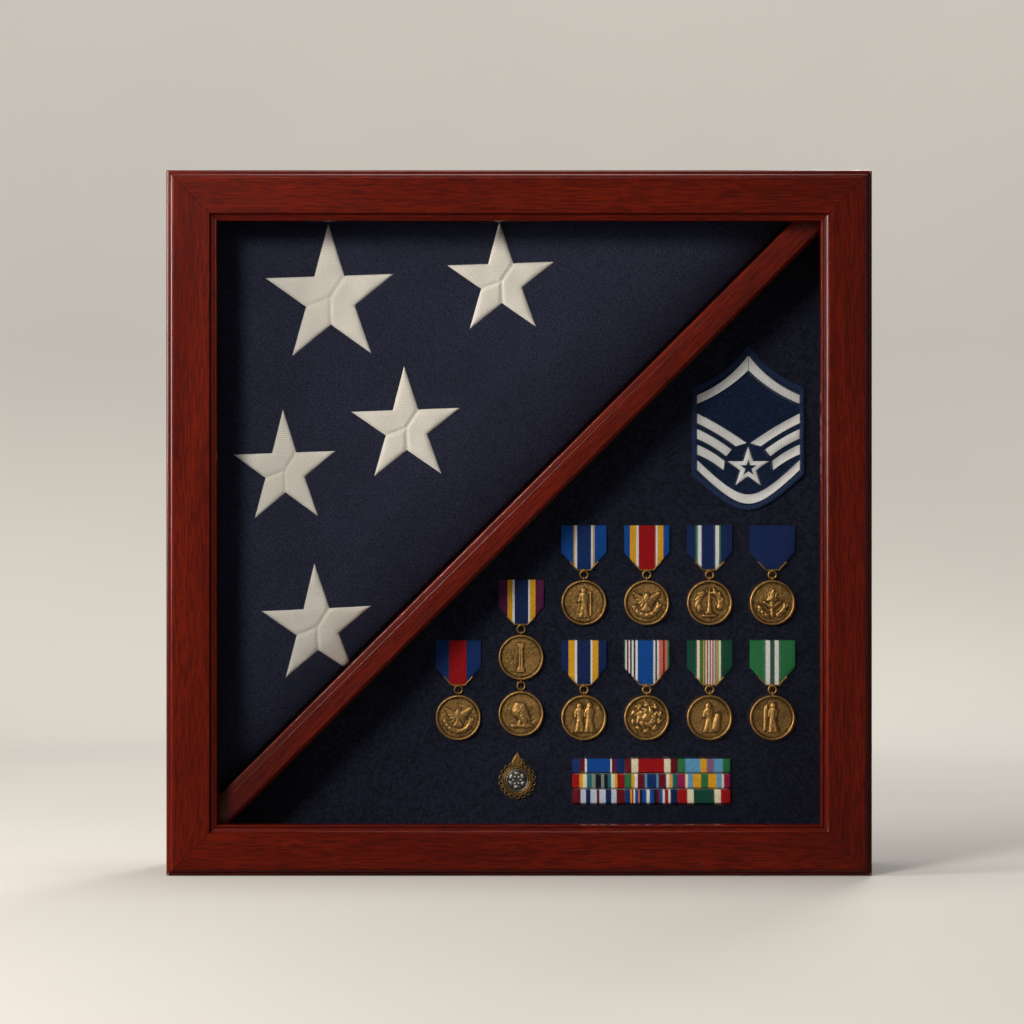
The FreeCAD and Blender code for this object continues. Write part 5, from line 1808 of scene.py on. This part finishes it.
class CASE_OT_badge(bpy.types.Operator):
    """Models the filigree badge with its leaves and struck centre"""

    bl_idname = "flag_case.badge"
    bl_label = "Filigree badge"

    def execute(self, context):
        shade = context.scene.flag_case_colours
        low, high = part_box("badge_medallion")
        x, _, z = middle_of("badge_medallion")
        back = high[1]
        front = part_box("badge_frame")[0][1]
        middle_y = (front + back) / 2
        parts = []
        for name, radius, wire in BADGE_BANDS:
            parts.append(ring(name, (x, middle_y, z), radius, wire, "Y", segments=72))
        for step in range(BADGE_CURLS):
            angle = 2 * math.pi * step / BADGE_CURLS
            place = (x + CURL_CIRCLE * math.sin(angle), middle_y, z + CURL_CIRCLE * math.cos(angle))
            parts.append(ring("curl", place, CURL_RADIUS, CURL_WIRE, "Y", segments=20, sides=8))
        for lean, length, breadth in BADGE_LEAVES:
            deselect()
            bpy.ops.mesh.primitive_uv_sphere_add(segments=24, ring_count=16, radius=0.5)
            blade = named("leaf")
            points = points_of(blade)
            up = points[:, 2] + 0.5
            width = breadth * numpy.sin(numpy.pi * up ** 0.8)
            across = points[:, 0] * width / 0.5
            points = numpy.stack((across, points[:, 1] * LEAF_DEPTH, up * length), axis=1)
            vein = numpy.exp(-((points[:, 0] / VEIN_WIDTH) ** 2)) * VEIN_DEPTH
            points[:, 1] += numpy.where(points[:, 1] < 0, vein, 0.0)
            place_points(blade, points)
            turn = Matrix.Rotation(math.radians(lean), 4, "Y")
            blade.data.transform(Matrix.Translation((x, middle_y, z + LEAF_FOOT)) @ turn)
            smooth_all(blade)
            parts.append(blade)
        place = (x + SIDE_LOOP_RIGHT, middle_y, z + SIDE_LOOP_UP)
        parts.append(ring("side_loop", place, SIDE_LOOP_RADIUS, SIDE_LOOP_WIRE, "Y", segments=24, sides=8))
        frame_piece = join("badge_filigree", parts)
        old_brass = metal_material("old_brass", shade.old_brass, shade.old_brass_dark, depth=0.0001)
        settle(frame_piece, old_brass, stands_for=["badge_frame"])
        centre_front = low[1] + CENTRE_SINK
        centre, on_face = struck_disc(
            "badge_centre", CENTRE_RADIUS, CENTRE_RIM, centre_front, back, CENTRE_RECESS
        )
        points = points_of(centre)
        local = points[:, (0, 2)] / CENTRE_FIELD
        away = numpy.linalg.norm(local, axis=1)
        angle = numpy.arctan2(local[:, 1], local[:, 0])
        height = numpy.clip(1 - (away / CENTRE_BUTTON) ** 2, 0, 1)
        for middle, reach, turn in CENTRE_PETALS:
            petals = numpy.abs(numpy.cos(3 * (angle - turn))) ** 0.6
            height = numpy.maximum(height, petals * numpy.clip(1 - ((away - middle) / reach) ** 2, 0, 1))
        height = numpy.where(on_face & (away < GROUND_END), height, 0.0)
        points[:, 1] -= CENTRE_RELIEF * height
        place_points(centre, points + (x, 0.0, z))
        worn = CENTRE_GROUND_SHINE + CENTRE_RELIEF_SHINE * height
        value_on_points(centre, "relief", numpy.where(on_face, worn, RIM_SHINE))
        smooth(centre, angle=60.0)
        silver = metal_material(
            "dark_silver", shade.silver, shade.silver_dark, raised="relief", depth=0.00005
        )
        settle(centre, silver, stands_for=["badge_medallion"])
        return {"FINISHED"}


# Hangers

SCREW_RADIUS = 0.0025
SCREW_SEAT = 0.0008
BUMPER_RADIUS = 0.005

# Length, depth and width of each arm of a screw's cross slot
SLOT_SIZE = (0.0030, 0.0016, 0.0006)


def round_button(name, place, radius, depth, sides):
    """Short cylinder about the Y axis."""
    deselect()
    bpy.ops.mesh.primitive_cylinder_add(vertices=sides, radius=radius, depth=depth)
    button = named(name)
    button.data.transform(Matrix.Translation(place) @ Matrix.Rotation(QUARTER_TURN, 4, "X"))
    return button


class CASE_OT_hangers(bpy.types.Operator):
    """Models the hanging rings, screws and bumpers on the back"""

    bl_idname = "flag_case.hangers"
    bl_label = "Hangers and bumpers"

    def execute(self, context):
        sizes = context.scene.flag_case_sizes
        shade = context.scene.flag_case_colours
        dress(["hanger_straps"], steel(), edge=0.00012)
        wire = sizes.hanger_wire
        for side in ("left", "right"):
            low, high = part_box("d_ring_" + side)
            x, y, _ = middle_of("d_ring_" + side)
            half = (high[0] - low[0]) / 2 - wire
            top, foot = high[2] - wire, low[2] + wire
            corner = 0.002
            side_end = foot + half
            path = arc_points((x + half - corner, top - corner), corner, 90, 0, 6)
            path += arc_points((x, side_end), half, 0, -180, 20)
            path += arc_points((x - half + corner, top - corner), corner, 180, 90, 6)
            hoop = bent_wire("hanging_ring_" + side, [(px, y, pz) for px, pz in path], wire, closed=True)
            settle(hoop, steel(), body="hanger_ring_" + side, stands_for=["d_ring_" + side])
        heads = []
        low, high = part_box("hanger_screws")
        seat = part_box("hanger_straps")[0][1] + SCREW_SEAT
        for x in (low[0] + SCREW_RADIUS, high[0] - SCREW_RADIUS):
            for z in (high[2] - SCREW_RADIUS, low[2] + SCREW_RADIUS):
                heads.append(self.screw(x, seat, high[1], z))
        screws = join("hanger_screw_heads", heads)
        smooth(screws, angle=40.0)
        settle(screws, steel(), stands_for=["hanger_screws"])
        feet = []
        low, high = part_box("wall_bumpers")
        for x in (low[0] + BUMPER_RADIUS, high[0] - BUMPER_RADIUS):
            place = (x, *middle_of("wall_bumpers")[1:])
            foot = round_button("bumper", place, BUMPER_RADIUS, high[1] - low[1], sides=40)
            round_edges(foot, width=0.0013, segments=5)
            feet.append(foot)
        bumpers = join("rubber_bumpers", feet)
        smooth(bumpers, angle=40.0)
        worn = darker(shade.rubber, 0.5)
        rubber = speckled("black_rubber", shade.rubber, worn, scale=800.0, roughness=0.75, depth=0.00004)
        settle(bumpers, rubber, stands_for=["wall_bumpers"])
        return {"FINISHED"}

    def screw(self, x, seat, crest, z):
        """Pan-headed screw with a cross slot."""
        head = round_button("screw", (x, (seat + crest) / 2, z), SCREW_RADIUS, crest - seat, sides=32)
        round_edges(head, width=0.0008, segments=4)
        for turn in (45.0, 135.0):
            deselect()
            bpy.ops.mesh.primitive_cube_add(size=1.0)
            slot = named("slot")
            slot.data.transform(Matrix.Diagonal((*SLOT_SIZE, 1.0)))
            turned = Matrix.Rotation(math.radians(turn), 4, "Y")
            slot.data.transform(Matrix.Translation((x, crest, z)) @ turned)
            apply(head, "BOOLEAN", operation="DIFFERENCE", object=slot, solver="EXACT")
            bpy.data.objects.remove(slot)
        return head


# Stage

# Lamps: name, place, the point that each is turned to, size in metres, watts and tint
CASE_MIDDLE = (0.0, 0.0, 0.27)
LAMPS = (
    ("key", (-1.0, -1.5, 1.08), CASE_MIDDLE, 0.6, 24.0, (1.0, 0.97, 0.93)),
    ("side", (-2.0, -0.6, 0.6), CASE_MIDDLE, 0.8, 36.0, (1.0, 0.94, 0.88)),
    ("fill", (1.8, -2.2, 0.9), CASE_MIDDLE, 1.4, 1.5, (0.95, 0.97, 1.0)),
    ("back", (0.9, 2.3, 1.6), CASE_MIDDLE, 1.0, 30.0, (1.0, 0.98, 0.95)),
    ("wash", (0.0, 0.2, 2.6), (0.0, 1.6, 0.3), 1.0, 20.0, (1.0, 0.98, 0.95)),
)
SKY_TINT = (0.9, 0.92, 0.95, 1.0)
SKY_STRENGTH = 0.12
CAMERA_PLACE = (-0.0054, -2.193, 0.2753)
CAMERA_LENS = 100.0

# Radius and height of the round floor and backdrop, and the curve between them
BOWL_RADIUS = 1.7
BOWL_HEIGHT = 3.0
BOWL_CURVE = 0.5


def lamp(name, place, aim, size, watts, tint):
    light = bpy.data.lights.new(name, "AREA")
    light.shape = "DISK"
    light.size = size
    light.energy = watts
    light.color = tint
    holder = bpy.data.objects.new(name, light)
    bpy.context.collection.objects.link(holder)
    holder.location = place
    holder.rotation_euler = (Vector(aim) - Vector(place)).to_track_quat("-Z", "Y").to_euler()
    holder.visible_camera = False


class CASE_OT_stage(bpy.types.Operator):
    """Sets up the pale floor and backdrop, the soft lamps and the camera"""

    bl_idname = "flag_case.stage"
    bl_label = "Stage"

    def execute(self, context):
        shade = context.scene.flag_case_colours
        deselect()
        bpy.ops.mesh.primitive_cylinder_add(vertices=96, radius=BOWL_RADIUS, depth=BOWL_HEIGHT)
        bowl = named("studio_floor")
        bowl.data.transform(Matrix.Translation((0.0, 0.0, BOWL_HEIGHT / 2)))
        with editing(bowl, "FACE"):
            pick_faces(bowl, lambda face: face.normal.z > 0.9)
            bpy.ops.mesh.delete(type="FACE")
        round_edges(bowl, BOWL_CURVE, segments=12, angle=60.0)
        with editing(bowl):
            bpy.ops.mesh.select_all(action="SELECT")
            bpy.ops.mesh.normals_make_consistent(inside=True)
        smooth_all(bowl)
        material, tree, shader, place = begin("studio_paper", Roughness=0.9, Specular_IOR_Level=0.1)
        mottle = spread(tree, noise(tree, place, scale=3.0), 0.2, 0.8)
        paper = mixed(tree, mottle, darker(shade.floor, 0.97), shade.floor)
        tree.links.new(paper, shader.inputs["Base Color"])
        clear = add(tree, "BsdfTransparent").outputs[0]
        behind = add(tree, "NewGeometry").outputs["Backfacing"]
        shadow = add(tree, "LightPath").outputs["Is Shadow Ray"]
        seen_through = maths(tree, "MAXIMUM", behind, shadow)
        blend = add(tree, "MixShader", {0: seen_through, 1: shader.outputs[0], 2: clear})
        tree.links.new(blend.outputs[0], tree.nodes["Material Output"].inputs["Surface"])
        bowl.data.materials.append(material)
        bowl.visible_diffuse = False
        bowl.visible_glossy = False
        for values in LAMPS:
            lamp(*values)
        world = bpy.data.worlds.new("studio")
        context.scene.world = world
        world.use_nodes = True
        background = world.node_tree.nodes["Background"]
        background.inputs["Color"].default_value = SKY_TINT
        background.inputs["Strength"].default_value = SKY_STRENGTH
        camera = bpy.data.cameras.new("camera")
        camera.lens = CAMERA_LENS
        holder = bpy.data.objects.new("camera", camera)
        context.collection.objects.link(holder)
        holder.location = CAMERA_PLACE
        holder.rotation_euler = (QUARTER_TURN, 0.0, 0.0)
        context.scene.camera = holder
        context.scene.view_settings.view_transform = "Standard"
        return {"FINISHED"}


class CASE_PT_pieces(bpy.types.Panel):
    """Lists the case's pieces in the order they are made"""

    bl_idname = "CASE_PT_pieces"
    bl_label = "Flag case"
    bl_space_type = "VIEW_3D"
    bl_region_type = "UI"
    bl_category = "Flag case"

    def draw(self, context):
        for operator in OPERATORS:
            self.layout.operator(operator.bl_idname)


OPERATORS = (
    CASE_OT_stage,
    CASE_OT_moulding,
    CASE_OT_divider,
    CASE_OT_box,
    CASE_OT_glass,
    CASE_OT_flag,
    CASE_OT_stars,
    CASE_OT_board_cloth,
    CASE_OT_ribbons,
    CASE_OT_ribbon_rack,
    CASE_OT_medals,
    CASE_OT_rings,
    CASE_OT_patch,
    CASE_OT_badge,
    CASE_OT_hangers,
)
CLASSES = (CaseColours, RibbonColours, CaseSizes, *OPERATORS, CASE_PT_pieces)


def register():
    for made in CLASSES:
        bpy.utils.register_class(made)
    bpy.types.Scene.flag_case_colours = PointerProperty(type=CaseColours)
    bpy.types.Scene.flag_case_ribbons = PointerProperty(type=RibbonColours)
    bpy.types.Scene.flag_case_sizes = PointerProperty(type=CaseSizes)


def unregister():
    del bpy.types.Scene.flag_case_sizes
    del bpy.types.Scene.flag_case_ribbons
    del bpy.types.Scene.flag_case_colours
    for made in reversed(CLASSES):
        bpy.utils.unregister_class(made)


def main():
    register()
    bpy.ops.flag_case.stage()
    bpy.ops.flag_case.moulding()
    bpy.ops.flag_case.divider()
    bpy.ops.flag_case.box()
    bpy.ops.flag_case.glass()
    bpy.ops.flag_case.flag()
    bpy.ops.flag_case.stars()
    bpy.ops.flag_case.board_cloth()
    bpy.ops.flag_case.ribbons()
    bpy.ops.flag_case.ribbon_rack()
    bpy.ops.flag_case.medals()
    bpy.ops.flag_case.rings()
    bpy.ops.flag_case.patch()
    bpy.ops.flag_case.badge()
    bpy.ops.flag_case.hangers()


if __name__ == "__main__":
    main()
